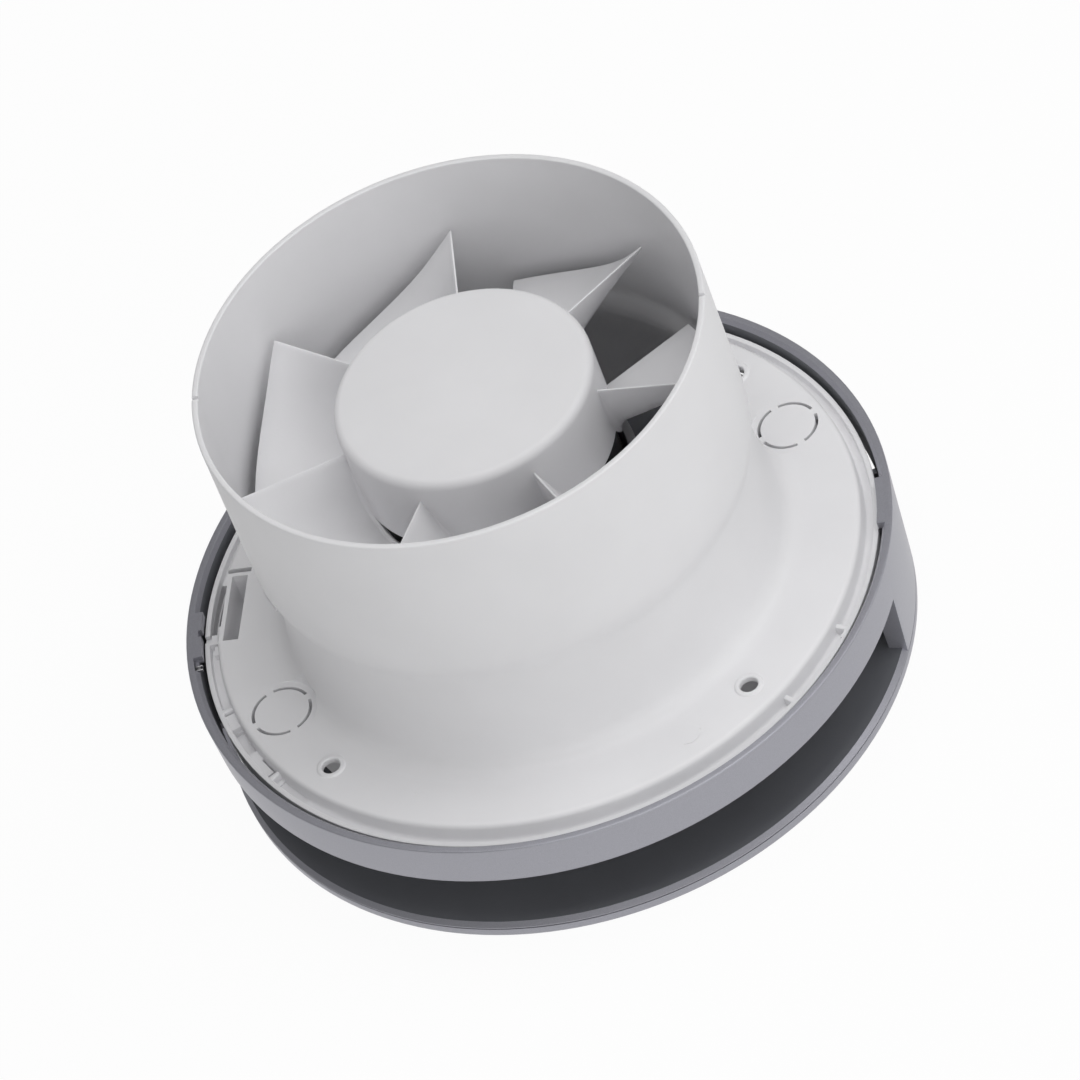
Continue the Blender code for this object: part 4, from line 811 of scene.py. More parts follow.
@dataclass
class Housing:
    """The white base moulding: spigot, neck, back plate, groove, lip, skirt and inlet."""

    rim: float = 111.0
    spigot: float = 61.5
    wall: float = 1.5
    tube_bottom: float = 67.0
    waist_level: float = 61.3
    waist: float = 59.3
    neck_foot: float = 61.4
    plate_top: float = 33.2
    plate_bottom: float = 30.6
    plate: float = 79.2
    groove_outer: float = 81.7
    groove_floor: float = 28.6
    lip_top: float = 30.5
    lip: float = 83.0
    skirt_bottom: float = 18.5
    skirt_inner: float = 81.3
    inlet: float = 66.0
    screw_circle: float = 71.4
    screw_hole: float = 2.25
    screw_boss: float = 3.7
    boss_land: float = 3.2
    boss_rise: float = 0.4
    screw_relief: float = 3.6
    knockout_circle: float = 69.5
    knockout: float = 7.5
    knockout_slot: float = 0.8
    knockout_bridge: float = 8.0
    knockout_seat: float = 9.1
    seat_rise: float = 4.2
    knockout_angle: float = 25.5
    pocket_box: Block = Block((6.0, 22.6, 9.5), (-74.8, -1.75, 27.25), POCKET_LEAN)
    pocket_side: Block = Block((4.3, 21.9, 10.6), (-75.7, -1.45, 27.88), POCKET_LEAN)
    pocket: Block = Block((3.9, 20.5, 11.7), (-74.85, -1.75, 29.35), POCKET_LEAN)
    bar_slot: Block = Block((7.2, 1.35, 4.2), (-75.8, 10.25, 32.0), POCKET_LEAN)
    line_mark: Block = Block((0.3, 2.1, 0.6), (-30.1, -64.6, 33.4))
    foot_rib: Block = Block((8.0, 0.9, 1.0), (-32.8, -56.9, 33.7), -65.1, 0.2)
    nub: Block = Block((3.4, 1.5, 2.5), (80.5, 0.0, 29.4), 0.0, 0.55)
    nub_angles: Sequence[float] = (-26.0, -42.6, -144.0, -162.9)
    lug: Sequence[Point] = ((1.7, 47.7), (3.4, 47.7), (3.4, 56.7), (1.7, 56.7))
    lug_circle: float = 55.0
    lead_way: Block = Block((8.0, 8.0, 5.5), (63.6, 0.0, 22.25), 90.0)
    rim_notch: Block = Block((6.0, 1.2, 1.8), (60.75, 0.0, 111.0))
    pillar_way: Sector = Sector(79.3, 85.0, 17.5, 23.9, -19.0, 19.0)
    arc_mark: Sector = Sector(3.1, 3.4, 33.08, 34.0, -105.0, 15.0)
    arc_mark_centre: Point = (35.3, -61.7)
    steps: Sequence[Sector] = (
        Sector(78.6, 81.8, 28.0, 30.6, 179.2, 181.3),
        Sector(79.0, 80.6, 28.0, 30.1, 181.5, 183.6),
        Sector(78.6, 81.8, 28.0, 29.9, 198.0, 201.6),
        Sector(78.6, 81.8, 28.0, 29.5, 208.2, 214.6),
    )
    recesses: Sequence[Sector] = (
        Sector(77.0, 81.55, 26.0, 34.0, 166.7, 179.1),
        Sector(79.3, 81.55, 27.3, 30.0, 201.7, 208.0),
        Sector(79.4, 81.55, 28.1, 30.0, 217.4, 224.0),
    )
    notches: Sequence[Sector] = (
        Sector(81.2, 83.5, 29.3, 31.0, 179.1, 180.6),
        Sector(79.3, 80.0, 27.7, 30.0, 184.2, 186.0),
        Sector(79.45, 79.85, 28.2, 31.5, 210.8, 215.4),
        Sector(81.0, 82.2, 29.5, 31.0, 331.0, 332.0),
        Sector(81.0, 81.8, 29.8, 31.0, 328.6, 329.8),
        Sector(81.0, 81.8, 30.0, 31.0, 326.6, 327.3),
    )
    post_hole: float = 1.4
    post_sizes: Sequence[Post] = (
        Post(74.4, 68.0, 28.7, 2.7, 1.5),
        Post(74.4, 112.0, 28.7, 2.7, 1.5),
        Post(67.4, 9.5, 26.9, 2.3, 2.96),
        Post(75.6, 9.5, 26.9, 2.3, 2.96),
        Post(74.4, -33.0, 20.5, 2.7, 8.1),
        Post(74.4, 120.0, 20.5, 2.7, 8.1),
    )
    mark: float = 0.35
    marks: Sequence[tuple[float, float]] = ((53.7, 222.2), (53.1, 316.7))

    def neck_radius(self, z: float) -> float:
        """Find the neck's outer radius at a level between the plate and the waist."""
        share = (self.waist_level - z) / (self.waist_level - self.plate_top)
        return self.waist + (self.neck_foot - self.waist) * share**2.2

    def inlet_radius(self, z: float) -> float:
        """Find the airway's radius below the waist.

        Args:
            z: Level between the skirt's edge and the waist.

        Returns:
            The radius.
        """
        mouth = max(0.0, (self.plate_top - z) / (self.plate_top - self.skirt_bottom))
        throat = self.neck_radius(max(z, self.plate_top)) - self.wall
        return throat + (self.inlet - self.neck_foot + self.wall) * mouth**1.7

    def outline(self) -> list[Point]:
        """Draw the moulding's section, from the rim down outside and up inside.

        Returns:
            The (r, z) points.
        """
        wall = self.wall
        neck = [self.waist_level + (self.plate_top + 6 - self.waist_level) * n / 6 for n in range(1, 6)]
        inlet = [self.plate_top + (self.skirt_bottom + 0.5 - self.plate_top) * n / 8 for n in range(9)]
        outside = [
            Corner(self.spigot, self.rim, 0.5),
            Corner(self.spigot, self.tube_bottom, 12.0),
            Corner(self.waist, self.waist_level + 0.6, 12.0),
        ]
        outside += [Corner(self.neck_radius(z), z) for z in neck]
        outside += [
            Corner(self.neck_foot, self.plate_top, 7.0),
            Corner(self.plate, self.plate_top, 1.4),
            Corner(self.plate + 0.3, self.groove_floor, 0.7),
            Corner(self.groove_outer - 0.1, self.groove_floor, 0.4),
            Corner(self.groove_outer, self.lip_top, 0.25),
            Corner(self.lip, self.lip_top, 0.25),
            Corner(self.lip - 0.3, self.skirt_bottom, 0.4),
            Corner(self.skirt_inner - 0.2, self.skirt_bottom, 0.4),
            Corner(self.skirt_inner, self.groove_floor - wall, 0.5),
            Corner(self.plate - wall, self.groove_floor - wall, 0.4),
            Corner(self.plate - wall, self.plate_bottom, 0.4),
        ]
        lower = [z for z in inlet if z < self.plate_bottom - 1.0]
        inside = [Corner(self.inlet_radius(self.plate_bottom) + wall, self.plate_bottom, 1.0)]
        inside += [Corner(self.inlet_radius(z) + wall, z) for z in lower]
        inside.append(Corner(self.inlet + 0.5 * wall, self.skirt_bottom))
        inside += [Corner(self.inlet_radius(z), z) for z in reversed(inlet)]
        inside += [Corner(self.neck_radius(z) - wall, z) for z in reversed(neck)]
        inside += [
            Corner(self.waist - wall, self.waist_level + 0.6, 8.0),
            Corner(self.spigot - wall, self.tube_bottom, 8.0),
            Corner(self.spigot - wall, self.rim, 0.45),
        ]
        return rounded(outside + inside)

    def plate_screws(self) -> tuple[list[bpy.types.Object], list[bpy.types.Object]]:
        """Make the bosses of the four plate screws and the tools of their holes.

        Returns:
            The bosses and the hole tools.
        """
        rise = self.plate_top + self.boss_rise
        bottom = self.plate_bottom + self.boss_rise
        relief = self.plate_top - 1.4
        boss = rounded([
            Corner(0.0, bottom),
            Corner(self.screw_boss, bottom),
            Corner(self.screw_boss, self.plate_top - 0.1, 0.2),
            Corner(self.boss_land, rise, 0.5),
            Corner(0.0, rise),
        ], closed=False)
        hole = [
            (0.0, bottom - 2.0),
            (self.screw_relief, bottom - 2.0),
            (self.screw_relief, relief),
            (self.screw_hole, relief + 0.2),
            (self.screw_hole, rise - 0.25),
            (self.screw_hole + 0.4, rise + 0.2),
            (self.screw_hole + 0.4, rise + 1.0),
            (0.0, rise + 1.0),
        ]
        first = polar(self.screw_circle, 45.0)
        bosses = Bench.copies(Bench.peg("screw_boss", boss, first), QUARTERS)
        holes = Bench.copies(Bench.peg("screw_hole", hole, first), QUARTERS)
        return bosses, holes

    def knockout_slots(self) -> list[bpy.types.Object]:
        """Make the tools of the arc slots round both cable knock-outs.

        Returns:
            The tools.
        """
        radius, inner = self.knockout, self.knockout - self.knockout_slot
        low, high = self.plate_bottom - 1.6, self.plate_top + 7.0
        quarters = [
            Sector(inner, radius, low, high, turn + self.knockout_bridge, turn + 90.0 - self.knockout_bridge)
            for turn in (0.0, *QUARTERS)
        ]
        slots: list[bpy.types.Object] = []
        for side in (self.knockout_angle, self.knockout_angle + 180.0):
            centre = polar(self.knockout_circle, side)
            slots += [Bench.sector("slot", quarter, 96, side, centre) for quarter in quarters]
        return slots

    def knockout_seats(self) -> list[bpy.types.Object]:
        """Make the tools of the flat round seats that the knock-outs have in the neck's foot.

        Returns:
            The tools.
        """
        low = self.plate_top - 0.02
        high = self.plate_top + self.seat_rise
        seat = [(0.0, low), (self.knockout_seat, low), (self.knockout_seat + 0.2, high), (0.0, high)]
        first = Bench.peg("seat", seat, polar(self.knockout_circle, self.knockout_angle), 96)
        return Bench.copies(first, (180.0,))

    def additions(self) -> list[bpy.types.Object]:
        """Make the pocket's box, the nubs and steps in the groove and the bracket's lugs.

        Returns:
            The shapes to add.
        """
        nubs = [self.nub.make("nub", angle) for angle in self.nub_angles]
        lugs = Bench.copies(Bench.peg("lug", self.lug, polar(self.lug_circle, 0.0), 24, True), QUARTERS)
        steps = [Bench.sector("step", step) for step in self.steps]
        return [self.pocket_box.make("pocket_box"), self.foot_rib.make("foot_rib"), *nubs, *lugs, *steps]

    def posts(self) -> list[bpy.types.Object]:
        """Make the posts for the board, the clamp and the wiring lid, with their pilot holes.

        Returns:
            The posts.
        """
        top = self.plate_bottom + 1.3
        made = []
        for post in self.post_sizes:
            hole = post.bottom + post.depth
            outline = [(0.0, hole), (self.post_hole, hole), (self.post_hole, post.bottom)]
            outline += [(post.radius, post.bottom), (post.radius, top), (0.0, top)]
            made.append(Bench.peg("post", outline, polar(post.circle, post.angle), 20))
        return made

    def removals(self) -> list[bpy.types.Object]:
        """Make the tools of the pocket, the rim's notches and the ways for the leads and pillars.

        Returns:
            The tools.
        """
        blocks = (self.pocket, self.bar_slot, self.line_mark, self.lead_way)
        tools = [block.make("way") for block in blocks]
        tools.append(Bench.sector("mark", self.arc_mark, 72, 0.0, Vector((*self.arc_mark_centre, 0.0))))
        for middle in SIDES:
            tools.append(self.rim_notch.make("rim_notch", middle))
            tools.append(Bench.sector("pillar_way", self.pillar_way, 160, middle))
        tools += [Bench.sector("notch", notch) for notch in self.notches]
        low, high = self.plate_top - 0.2, self.plate_top + 1.0
        dot = [(0.0, low - 0.05), (self.mark, low), (self.mark, high), (0.0, high)]
        tools += [Bench.peg("mark", dot, polar(radius, angle), 12) for radius, angle in self.marks]
        return tools

    def build(self, finish: bpy.types.Material) -> bpy.types.Object:
        """Make the whole moulding.

        Args:
            finish: Its material.

        Returns:
            The moulding.
        """
        shell = Bench.turned("housing_shell", self.outline())
        bosses, holes = self.plate_screws()
        Bench.carve(shell, [*bosses, *self.additions(), *self.posts()], Cut.ADD)
        recesses = [Bench.sector("recess", recess) for recess in self.recesses]
        Bench.carve(shell, [*recesses, *self.knockout_seats()], Cut.REMOVE)
        Bench.carve(shell, [self.pocket_side.make("pocket_side")], Cut.ADD)
        Bench.carve(shell, [*holes, *self.knockout_slots(), *self.removals()], Cut.REMOVE)
        return Bench.dress(shell, finish, Body.BASE, Slot.WHITE, ["base_housing"])


@dataclass
class Cover:
    """The silver cover: ring, pillars and tray, with the front panel under it."""

    band_radius: float = 86.95
    band_top: float = 33.1
    band_bottom: float = 21.9
    band_wall: float = 2.65
    flat_inner: float = 85.2
    draft: float = math.radians(3.0)
    tray_bottom: float = 2.9
    tray_top: float = 4.2
    bevel_width: float = 1.2
    bevel_drop: float = 1.0
    pillar_half: float = 14.7
    flange_depth: float = 3.2
    flange: float = 1.8
    panel_top: float = 2.6
    notches: Sequence[Sector] = (
        Sector(83.0, 85.3, 31.6, 34.0, 184.9, 187.7),
        Sector(83.0, 83.9, 30.5, 34.0, 179.0, 180.4),
    )
    tongue: Sector = Sector(83.15, 85.6, 31.0, 33.08, -5.0, 5.0)
    clip_foot: Block = Block((1.2, 1.5, 0.4), (84.65, 0.0, 31.7), 186.9, 0.1)
    clip_fold: Block = Block((1.9, 0.3, 0.8), (84.35, 0.0, 31.95), 186.9, 0.1)

    def radius(self, z: float) -> float:
        """Find the cover's outer radius at a level."""
        return self.band_radius - (self.band_top - z) * math.tan(self.draft)

    def frame(self) -> bpy.types.Object:
        """Make the ring, pillars and tray as one turned shell, opened between the pillars.

        Returns:
            The frame.
        """
        inner_low = self.radius(self.tray_top) - self.band_wall
        outline = rounded([
            Corner(0.0, self.tray_bottom),
            Corner(self.radius(self.tray_bottom), self.tray_bottom, 0.15),
            Corner(self.band_radius, self.band_top, 0.45),
            Corner(self.flat_inner, self.band_top, 0.15),
            Corner(self.band_radius - self.band_wall, self.band_top - 1.2, 0.3),
            Corner(inner_low, self.tray_top, 0.6),
            Corner(0.0, self.tray_top),
        ], closed=False)
        frame = Bench.turned("cover_shell", outline, closed=False)
        self.add_flanges(frame)
        Bench.carve(frame, self.gap_tools(), Cut.REMOVE)
        return frame

    def add_flanges(self, frame: bpy.types.Object) -> None:
        """Add the inward flanges along the pillars' edges and the two clip tongues.

        Args:
            frame: The frame.
        """
        middle = self.radius(self.tray_top) - 0.5 * self.band_wall - 0.5 * self.flange_depth
        height = self.band_bottom - self.tray_top + 0.5
        inset = self.pillar_half - math.degrees(0.5 * self.flange / middle)
        centre = (middle, 0.0, self.tray_top - 0.5 + 0.5 * height)
        size = (self.flange_depth, self.flange, height)
        angles = [side + turn for side in SIDES for turn in (-inset, inset)]
        shapes = [Bench.block("flange", size, centre, angle) for angle in angles]
        shapes += [Bench.sector("tongue", self.tongue, 160, side) for side in SIDES]
        Bench.carve(frame, shapes, Cut.ADD)

    def gap_tools(self) -> list[bpy.types.Object]:
        """Make the tools that open the air gap on both sides.

        Returns:
            The tools.
        """
        edge = self.radius(self.tray_top)
        inner = edge - self.band_wall - 3.0
        slope = self.bevel_drop / self.bevel_width
        outline = [
            (inner, self.tray_top),
            (edge - self.bevel_width, self.tray_top),
            (edge + 1.0, self.tray_top - self.bevel_drop - slope),
            (self.band_radius + 3.0, self.tray_top),
            (self.band_radius + 3.0, self.band_bottom),
            (inner, self.band_bottom),
        ]
        sweep = 180.0 - 2.0 * self.pillar_half
        tools = [Bench.turned("gap", outline, 160, True, start + self.pillar_half, sweep) for start in SIDES]
        return tools + [Bench.sector("ring_notch", notch) for notch in self.notches]

    def panel(self) -> bpy.types.Object:
        """Make the flat front panel.

        Returns:
            The panel.
        """
        outline = rounded([
            Corner(0.0, 0.0),
            Corner(self.radius(0.0), 0.0, 0.8),
            Corner(self.radius(self.panel_top), self.panel_top, 0.15),
            Corner(0.0, self.panel_top),
        ], closed=False)
        return Bench.turned("front_plate", outline, closed=False)

    def clip(self) -> bpy.types.Object:
        """Make the small spring clip in the ring's notch: two folded edges on a flat foot.

        Returns:
            The clip.
        """
        folds = [self.clip_fold.make("fold", angle) for angle in (-0.45, 0.4)]
        return Bench.joined("ring_clip", [self.clip_foot.make("clip"), *folds])

    def bare_gap_shade(self, frame: bpy.types.Object, finish: bpy.types.Material) -> None:
        """Give the frame's inner faces bare dark grey plastic, darkened as painted shade of the gap under the ring.

        Args:
            frame: The frame.
            finish: The material of the bare plastic, darkened as painted shade.
        """
        frame.data.materials.append(finish)
        # The inner walls and the tray inside the ring take the dark grey: bare plastic darkened as painted shade of
        # the gap.
        for face in frame.data.polygons:
            spot = face.center / MM
            radius = spot.xy.length
            inner = radius < self.flat_inner + 0.2 and spot.z > self.tray_bottom + 1.0
            wall = spot.xy.normalized().dot(face.normal.xy) < -0.9
            tray = face.normal.z > 0.98 and spot.z < self.tray_top + 0.05
            tongue = spot.z > self.band_top - 2.3 and radius < self.tongue.inner + 0.75
            if inner and (wall or tray) and not tongue:
                face.material_index = 1

    def build(self, finish: bpy.types.Material, bare_gap_shade: bpy.types.Material, metal: bpy.types.Material) -> None:
        """Make the frame, the panel and the clip.

        Args:
            finish: The paint on the frame and the panel.
            bare_gap_shade: The frame's bare plastic inside the gap, darkened as painted shade.
            metal: The clip's material.
        """
        frame = Bench.dress(self.frame(), finish, Body.COVER, Slot.SILVER, ["cover_frame"])
        self.bare_gap_shade(frame, bare_gap_shade)
        Bench.dress(self.panel(), finish, Body.COVER, Slot.SILVER, ["front_panel"])
        Bench.dress(self.clip(), metal, Body.COVER, Slot.STEEL)


@dataclass
class Impeller:
    """The white impeller: a domed hub with seven twisted blades."""

    hub: float = 31.35
    hub_wall: float = 1.8
    skirt_bottom: float = 76.2
    crown: float = 100.0
    dome: float = 1.7
    corner: float = 2.4
    blades: int = 7
    phase: float = 93.8
    tip: float = 57.5
    sweep: float = 41.5
    blade_top: float = 92.3
    root_drop: float = 22.4
    tip_drop: float = 20.8
    root_bend: float = 5.2
    tip_bend: float = 2.4
    thickness: float = 1.5
    root_sink: float = 0.9
    lower_fillet: float = 2.4
    upper_fillet: float = 1.2
    edge_share: float = 0.3
    edge_depth: float = 5.0

    def hub_outline(self) -> list[Point]:
        """Draw the hub's section, from the crown round to the shaft's bore.

        Returns:
            The (r, z) points.
        """
        flat = self.hub - self.corner
        crown = [(flat * n / 6, self.crown - self.dome * (n / 6) ** 2) for n in range(6)]
        corner_z = self.crown - self.dome - self.corner
        outer, inner = [], []
        for step in range(11):
            angle = math.radians(84.0 - 8.4 * step)
            outer.append((flat + self.corner * math.cos(angle), corner_z + self.corner * math.sin(angle)))
            reach = self.corner - self.hub_wall
            inner.append((flat + reach * math.cos(angle), corner_z + reach * math.sin(angle)))
        under = self.crown - self.hub_wall - 0.2 * self.dome
        skirt = rounded([
            Corner(self.hub, corner_z - 1.0),
            Corner(self.hub, self.skirt_bottom, 0.35),
            Corner(self.hub - self.hub_wall, self.skirt_bottom, 0.35),
            Corner(self.hub - self.hub_wall, corner_z - 1.0),
        ], closed=False)
        boss = [
            (6.5, under),
            (6.5, 86.0),
            (3.3, 86.0),
            (3.3, 95.8),
            (0.0, 95.8),
        ]
        return crown + outer + skirt + list(reversed(inner)) + boss

    def blade_line(self, radius: float, share: float) -> list[Vector]:
        """Follow a blade's middle surface from its upper to its lower edge at one radius.

        Args:
            radius: Distance from the axis.
            share: How far out that is, from root 0 to tip 1.

        Returns:
            The points.
        """
        drop = self.root_drop + (self.tip_drop - self.root_drop) * share
        bend = self.root_bend + (self.tip_bend - self.root_bend) * share
        points = []
        for step in range(17):
            down = (step / 16) ** 1.5
            fall = (1.0 - math.exp(-bend * down)) / (1.0 - math.exp(-bend))
            points.append(polar(radius, self.phase + self.sweep * down, self.blade_top - drop * fall))
        return points

    def fullness(self, z: float) -> float:
        """Find how much of its thickness a blade has at a level, from 0 at its thin upper edge to 1."""
        return min(1.0, max(0.0, (self.blade_top - z) / self.edge_depth))

    def blade(self) -> bpy.types.Object:
        """Make one blade by bridging lines from its root to its tip.

        Returns:
            The blade.
        """
        root = self.hub - self.root_sink
        lines = [self.blade_line(root + (self.tip - root) * share, share) for share in (0.0, 0.25, 0.5, 0.75, 1.0)]
        blade = Bench.skin("blade", lines, 1)
        body = blade.vertex_groups.new(name="body")
        for vertex in blade.data.vertices:
            body.add([vertex.index], self.fullness(vertex.co.z / MM), "REPLACE")
        Bench.modified(blade, "SOLIDIFY", thickness=self.thickness * MM, offset=0.0, vertex_group=body.name,
                       thickness_vertex_group=self.edge_share)
        blade.vertex_groups.clear()
        Bench.modified(blade, "BEVEL", width=0.2 * MM, segments=2, limit_method="ANGLE",
                       angle_limit=math.radians(50.0))
        return Bench.finished(blade, 40.0)

    def blade_foot(self, side: float, fillet: float) -> bpy.types.Object:
        """Make the hollow fillet between a blade's root and the hub.

        Args:
            side: 1 for the blade's upper face, -1 for its lower face.
            fillet: The fillet's radius.

        Returns:
            The fillet, as a thin curved skin.
        """
        lines = []
        root = self.hub - self.root_sink
        for quarter in range(6):
            bend = math.radians(-18.0 * quarter)
            points = []
            for step in range(1, 16):
                size = fillet * max(0.1, min(1.0, (step - 0.6) / 3.4, (15.4 - step) / 3.4))
                radius = self.hub - 0.2 + size * (1.0 + math.sin(bend))
                line = self.blade_line(radius, (radius - root) / (self.tip - root))
                here, ahead = line[step], line[step + 1] - line[step - 1]
                half = 0.5 * self.thickness * (self.edge_share + (1.0 - self.edge_share) * self.fullness(here.z))
                reach = half - 0.18 + size * (1.0 - math.cos(bend))
                around = math.degrees(math.atan2(here.y, here.x))
                run = ahead.xy.length
                shift = side * reach / math.hypot(run, ahead.z)
                turn = math.degrees(-ahead.z * shift / self.hub)
                points.append(polar(radius, around + turn, here.z + run * shift))
            lines.append(points)
        foot = Bench.skin("foot", lines, 0)
        Bench.modified(foot, "SOLIDIFY", thickness=0.3 * MM, offset=0.0)
        return Bench.finished(foot, 60.0)

    def build(self, finish: bpy.types.Material) -> bpy.types.Object:
        """Make the hub and its blades.

        Args:
            finish: Their material.

        Returns:
            The impeller.
        """
        hub = Bench.turned("impeller_hub", self.hub_outline(), 128, False)
        turns = [360.0 * n / self.blades for n in range(1, self.blades)]
        feet = [self.blade_foot(-1.0, self.lower_fillet), self.blade_foot(1.0, self.upper_fillet)]
        blade = Bench.joined("blade", [self.blade(), *feet])
        blades = Bench.copies(blade, turns)
        wheel = Bench.joined("impeller_wheel", [hub, *blades])
        return Bench.dress(wheel, finish, Body.IMPELLER, Slot.WHITE, ["impeller"])


@dataclass
class MotorMount:
    """The bracket that carries the motor: a cup on four tapered arms."""

    cup_bore: float = 31.0
    cup: float = 33.2
    cup_bottom: float = 44.0
    cup_floor: float = 46.5
    top: float = 63.0
    plate: float = 2.0
    root_width: float = 27.0
    end_width: float = 8.0
    end: float = 57.1
    web_width: float = 2.4
    web_height: float = 9.0
    foot_size: Sequence[float] = (6.8, 7.6, 5.8)
    rib_size: Sequence[float] = (2.2, 8.0, 2.1)

    def arm(self) -> bpy.types.Object:
        """Make one arm: a tapered plate with a web, a foot and a rib across it.

        Returns:
            The arm.
        """
        root = self.cup - 1.1
        length = self.end - root
        size, centre = (length, self.root_width, self.plate), (root + 0.5 * length, 0.0, self.top - 1.05)
        plate = Bench.block("arm", size, centre)
        for vertex in plate.data.vertices:
            vertex.select = vertex.co.x / MM > root + 0.5 * length
        bpy.ops.object.mode_set(mode="EDIT")
        taper = (1.0, self.end_width / self.root_width, 1.0)
        bpy.ops.transform.resize(value=taper, center_override=(self.end * MM, 0, 0))
        bpy.ops.mesh.select_all(action="SELECT")
        bpy.ops.mesh.bevel(offset=0.3 * MM, segments=2, affect="EDGES")
        Bench.finished(plate)
        web_length = self.end - 8.0 - root
        size, centre = (web_length, self.web_width, self.web_height), (root + 0.5 * web_length, 0.0, 57.5)
        web = Bench.block("web", size, centre, 0.0, 0.3)
        foot = Bench.block("foot", self.foot_size, (self.end - 3.5, 0.0, 59.9), 0.0, 0.4)
        rib = Bench.block("rib", self.rib_size, (self.cup + 3.0, 0.0, self.top + 0.55), 0.0, 0.3)
        return Bench.joined("arm", [plate, web, foot, rib])

    def build(self, finish: bpy.types.Material) -> bpy.types.Object:
        """Make the cup and its arms.

        Args:
            finish: Their material.

        Returns:
            The bracket.
        """
        outline = rounded([
            Corner(9.0, self.cup_bottom, 0.3),
            Corner(self.cup, self.cup_bottom, 1.5),
            Corner(self.cup, self.top, 0.3),
            Corner(self.cup_bore, self.top, 0.3),
            Corner(self.cup_bore, self.cup_floor, 1.0),
            Corner(9.0, self.cup_floor, 0.3),
        ])
        cup = Bench.turned("cup", outline, 96)
        low, high = self.cup_bottom - 1.0, self.cup_floor + 1.0
        hole = drum(3.3, low, high)
        holes = Bench.copies(Bench.peg("hole", hole, polar(21.5, 30.0), 20), (120.0, 240.0))
        lead_hole = Bench.peg("lead_hole", drum(2.4, low, high), polar(14.0, 90.0), 20)
        Bench.carve(cup, [*holes, lead_hole], Cut.REMOVE)
        arms = Bench.copies(self.arm(), QUARTERS)
        bracket = Bench.joined("bracket", [cup, *arms])
        return Bench.dress(bracket, finish, Body.BASE, Slot.WHITE, ["motor_bracket"])


@dataclass
class MotorCase:
    """The motor's black case: a drum with a smaller neck and a boss for the rear bush."""

    radius: float = 29.6
    neck: float = 26.5
    joint: float = 52.3
    shoulder: float = 73.3
    top: float = 82.8
    boss_top: float = 84.3

    def build(self, finish: bpy.types.Material) -> bpy.types.Object:
        """Make the case.

        Args:
            finish: Its material.

        Returns:
            The case.
        """
        outline = rounded([
            Corner(3.6, self.boss_top, 0.2),
            Corner(8.3, self.boss_top, 0.4),
            Corner(8.3, self.top, 0.3),
            Corner(self.neck, self.top, 1.5),
            Corner(self.neck, self.shoulder, 0.8),
            Corner(self.radius, self.shoulder, 1.0),
            Corner(self.radius, self.joint),
            Corner(self.radius - 2.0, self.joint),
            Corner(self.radius - 2.0, self.shoulder - 2.0),
            Corner(self.neck - 2.0, self.shoulder - 2.0),
            Corner(self.neck - 2.0, self.top - 2.0),
            Corner(8.3, self.top - 2.0),
            Corner(8.3, 78.1),
            Corner(6.3, 78.1),
            Corner(6.3, 83.1),
            Corner(3.6, 83.1),
        ])
        case = Bench.turned("motor_drum", outline, 96)
        return Bench.dress(case, finish, Body.BASE, Slot.BLACK, ["motor_case"])


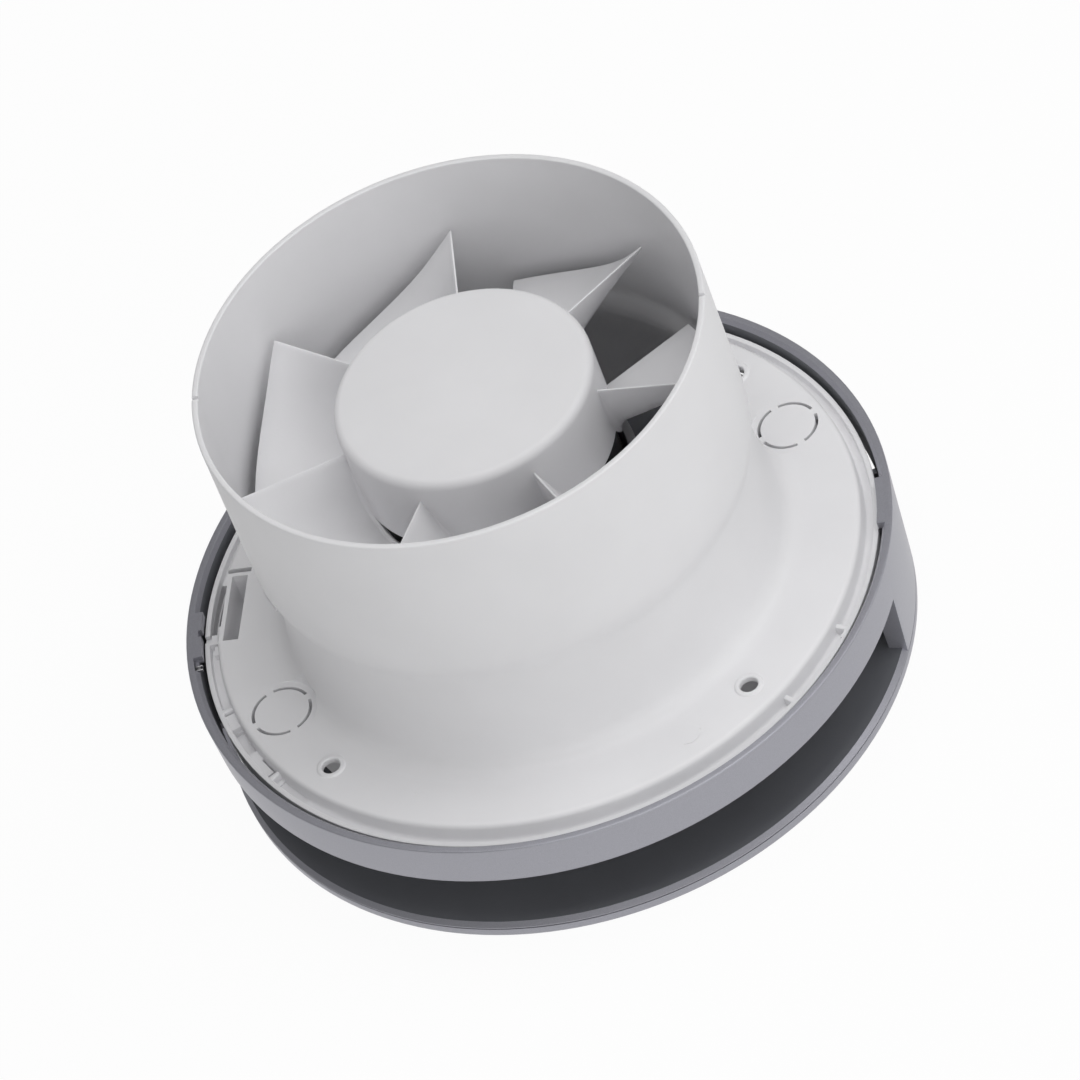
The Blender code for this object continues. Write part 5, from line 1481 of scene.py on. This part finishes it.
@dataclass
class Studio:
    """Plain floor, soft lamps and the camera at the photograph's angle."""

    camera_place: Sequence[float] = (0.35416, -1.30455, 1.38981)
    camera_turn: Sequence[float] = (42.9007, 15.3883, -0.8901)
    lens: float = 269.0
    lamp_width: float = 1.3
    lamps: Sequence[tuple[str, Sequence[float], float]] = (
        ("top", (0.1, 0.1, 2.1), 13.8),
        ("right", (1.35, 0.25, 1.6), 9.2),
        ("front_right", (1.4, -1.4, 0.8), 7.4),
        ("front", (0.3, -1.9, 0.8), 7.1),
    )

    def floor(self) -> None:
        """Lay a pale floor that keeps the fan's shadow and looks white to the camera."""
        Bench.clear()
        bpy.ops.mesh.primitive_plane_add(size=12.0, location=(0.0, 0.0, -0.2 * MM))
        floor = bpy.context.object
        floor.name = "floor"
        shader = Shader("floor_paper")
        shader.set("Base Color", (0.86, 0.86, 0.86))
        shader.set("Roughness", 0.9)
        glow = shader.add("ShaderNodeEmission", None, {"Color": (1.0, 1.0, 1.0), "Strength": 1.0})
        seen = self.seen(shader) * 0.95
        mix = shader.add("ShaderNodeMixShader", None,
                         {0: seen, 1: Value(shader, shader.surface.outputs[0]), 2: glow})
        shader.tree.links.new(mix.socket, shader.tree.nodes["Material Output"].inputs["Surface"])
        floor.data.materials.append(shader.material)

    @staticmethod
    def seen(shader: Shader) -> Value:
        """Tell the rays of the camera, of gloss and through glass from the others.

        Args:
            shader: The shader that asks.

        Returns:
            1 for those rays and 0 for the others.
        """
        camera = shader.add("ShaderNodeLightPath", output="Is Camera Ray")
        gloss = shader.add("ShaderNodeLightPath", output="Is Glossy Ray")
        through = shader.add("ShaderNodeLightPath", output="Is Transmission Ray")
        return (camera + gloss + through).over(0.0, 1.0)

    def sky(self) -> None:
        """Light the scene evenly with a dim white world."""
        world = bpy.data.worlds.new("studio")
        bpy.context.scene.world = world
        world.use_nodes = True
        background = world.node_tree.nodes["Background"]
        background.inputs["Color"].default_value = (1.0, 1.0, 1.0, 1.0)
        background.inputs["Strength"].default_value = 0.25

    def lamp(self, name: str, place: Sequence[float], power: float) -> None:
        """Hang a square soft lamp, pointing at the fan.

        Args:
            name: Its name.
            place: Where it hangs.
            power: Its power in watts.
        """
        lamp = bpy.data.lights.new(name, "AREA")
        lamp.size = self.lamp_width
        lamp.energy = power
        holder = bpy.data.objects.new(name, lamp)
        bpy.context.scene.collection.objects.link(holder)
        aim = Vector((0.0, 0.0, 0.05)) - Vector(place)
        holder.location = place
        holder.rotation_euler = aim.to_track_quat("-Z", "Y").to_euler()

    def camera(self) -> None:
        """Set the camera where the photograph was taken from."""
        data = bpy.data.cameras.new("camera")
        data.lens = self.lens
        data.sensor_width = 36.0
        data.clip_start = 0.05
        data.clip_end = 30.0
        holder = bpy.data.objects.new("camera", data)
        holder.location = self.camera_place
        holder.rotation_euler = [math.radians(angle) for angle in self.camera_turn]
        bpy.context.scene.collection.objects.link(holder)
        bpy.context.scene.camera = holder

    def build(self) -> None:
        """Set up the whole studio."""
        self.floor()
        self.sky()
        for name, place, power in self.lamps:
            self.lamp(name, place, power)
        self.camera()
        bpy.context.scene.view_settings.view_transform = "Standard"


FINISHES = {
    "white": Moulding("white_abs", (0.84, 0.837, 0.852), 0.45),
    "silver": MetallicPaint("silver_paint", (0.37, 0.37, 0.41), 0.38),
    # Dark grey of the cover's inner faces: bare plastic darkened as painted shade of the gap under the ring.
    "bare_gap_shade": Moulding("bare_abs_gap_shade", (0.145, 0.15, 0.165), 0.5),
    "black": Moulding("black_nylon", (0.016, 0.016, 0.018), 0.45, 0.1, 0.03),
    "steel": Metal("zinc_steel", (0.55, 0.55, 0.56), 0.32),
    "laminations": Metal("core_laminations", (0.32, 0.32, 0.34), 0.5, (1.0, 1.0, 40.0)),
    "bronze": Metal("sintered_bronze", (0.45, 0.29, 0.13), 0.5, (1.0, 1.0, 1.0)),
    "brass": Metal("bright_brass", (0.66, 0.5, 0.22), 0.28),
    "copper": Winding("copper_winding", (0.62, 0.24, 0.10)),
    "board": Laminate("board_laminate", (0.02, 0.12, 0.045), (0.05, 0.2, 0.07)),
    "rubber": Rubber("damper_rubber", (0.018, 0.018, 0.018)),
    "blue": Moulding("blue_sleeve", (0.03, 0.1, 0.42), 0.4),
    "brown": Moulding("brown_sleeve", (0.14, 0.06, 0.028), 0.42),
}

CAD_FINISHES = {
    "white": ["terminal_block", "cable_clamp", "wiring_lid"],
    "black": ["motor_lid", "thrust_washer"],
    "steel": ["rotor", "motor_shaft", "hub_collar", "bracket_screw_*", "motor_screw_*", "board_screw_*",
              "clamp_screw_*", "lid_screw_*"],
    "laminations": ["stator_core"],
    "bronze": ["rear_bush", "front_bush"],
    "brass": ["terminal_screw_*"],
    "copper": ["stator_coil_*"],
    "board": ["control_board"],
    "rubber": ["motor_damper_*"],
    "blue": ["run_capacitor", "motor_lead_neutral", "supply_lead_neutral"],
    "brown": ["motor_lead_live", "supply_lead_live"],
}


def dress_cad(frame: dict, finishes: dict[str, bpy.types.Material]) -> None:
    """Give the CAD nodes that stay in view their finishes.

    Args:
        finishes: The materials by name.
    """
    for finish, patterns in CAD_FINISHES.items():
        for pattern in patterns:
            stem = pattern.rstrip("*")
            for name, node in frame["nodes"].items():
                if name == stem or (pattern.endswith("*") and name.startswith(stem)):
                    node.data.materials.clear()
                    node.data.materials.append(finishes[finish])
                    LOG.info("%s: finish %s", name, finish)


def main() -> None:
    """Load the frame, build the pieces in order and log their face counts."""
    logging.basicConfig(level=logging.INFO, format="%(name)s: %(message)s")
    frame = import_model()
    finishes = {name: finish.make() for name, finish in FINISHES.items()}
    Studio().build()
    Housing().build(finishes["white"])
    Cover().build(finishes["silver"], finishes["bare_gap_shade"], finishes["steel"])
    Impeller().build(finishes["white"])
    MotorMount().build(finishes["white"])
    MotorCase().build(finishes["black"])
    dress_cad(frame, finishes)


if __name__ == "__main__":
    main()
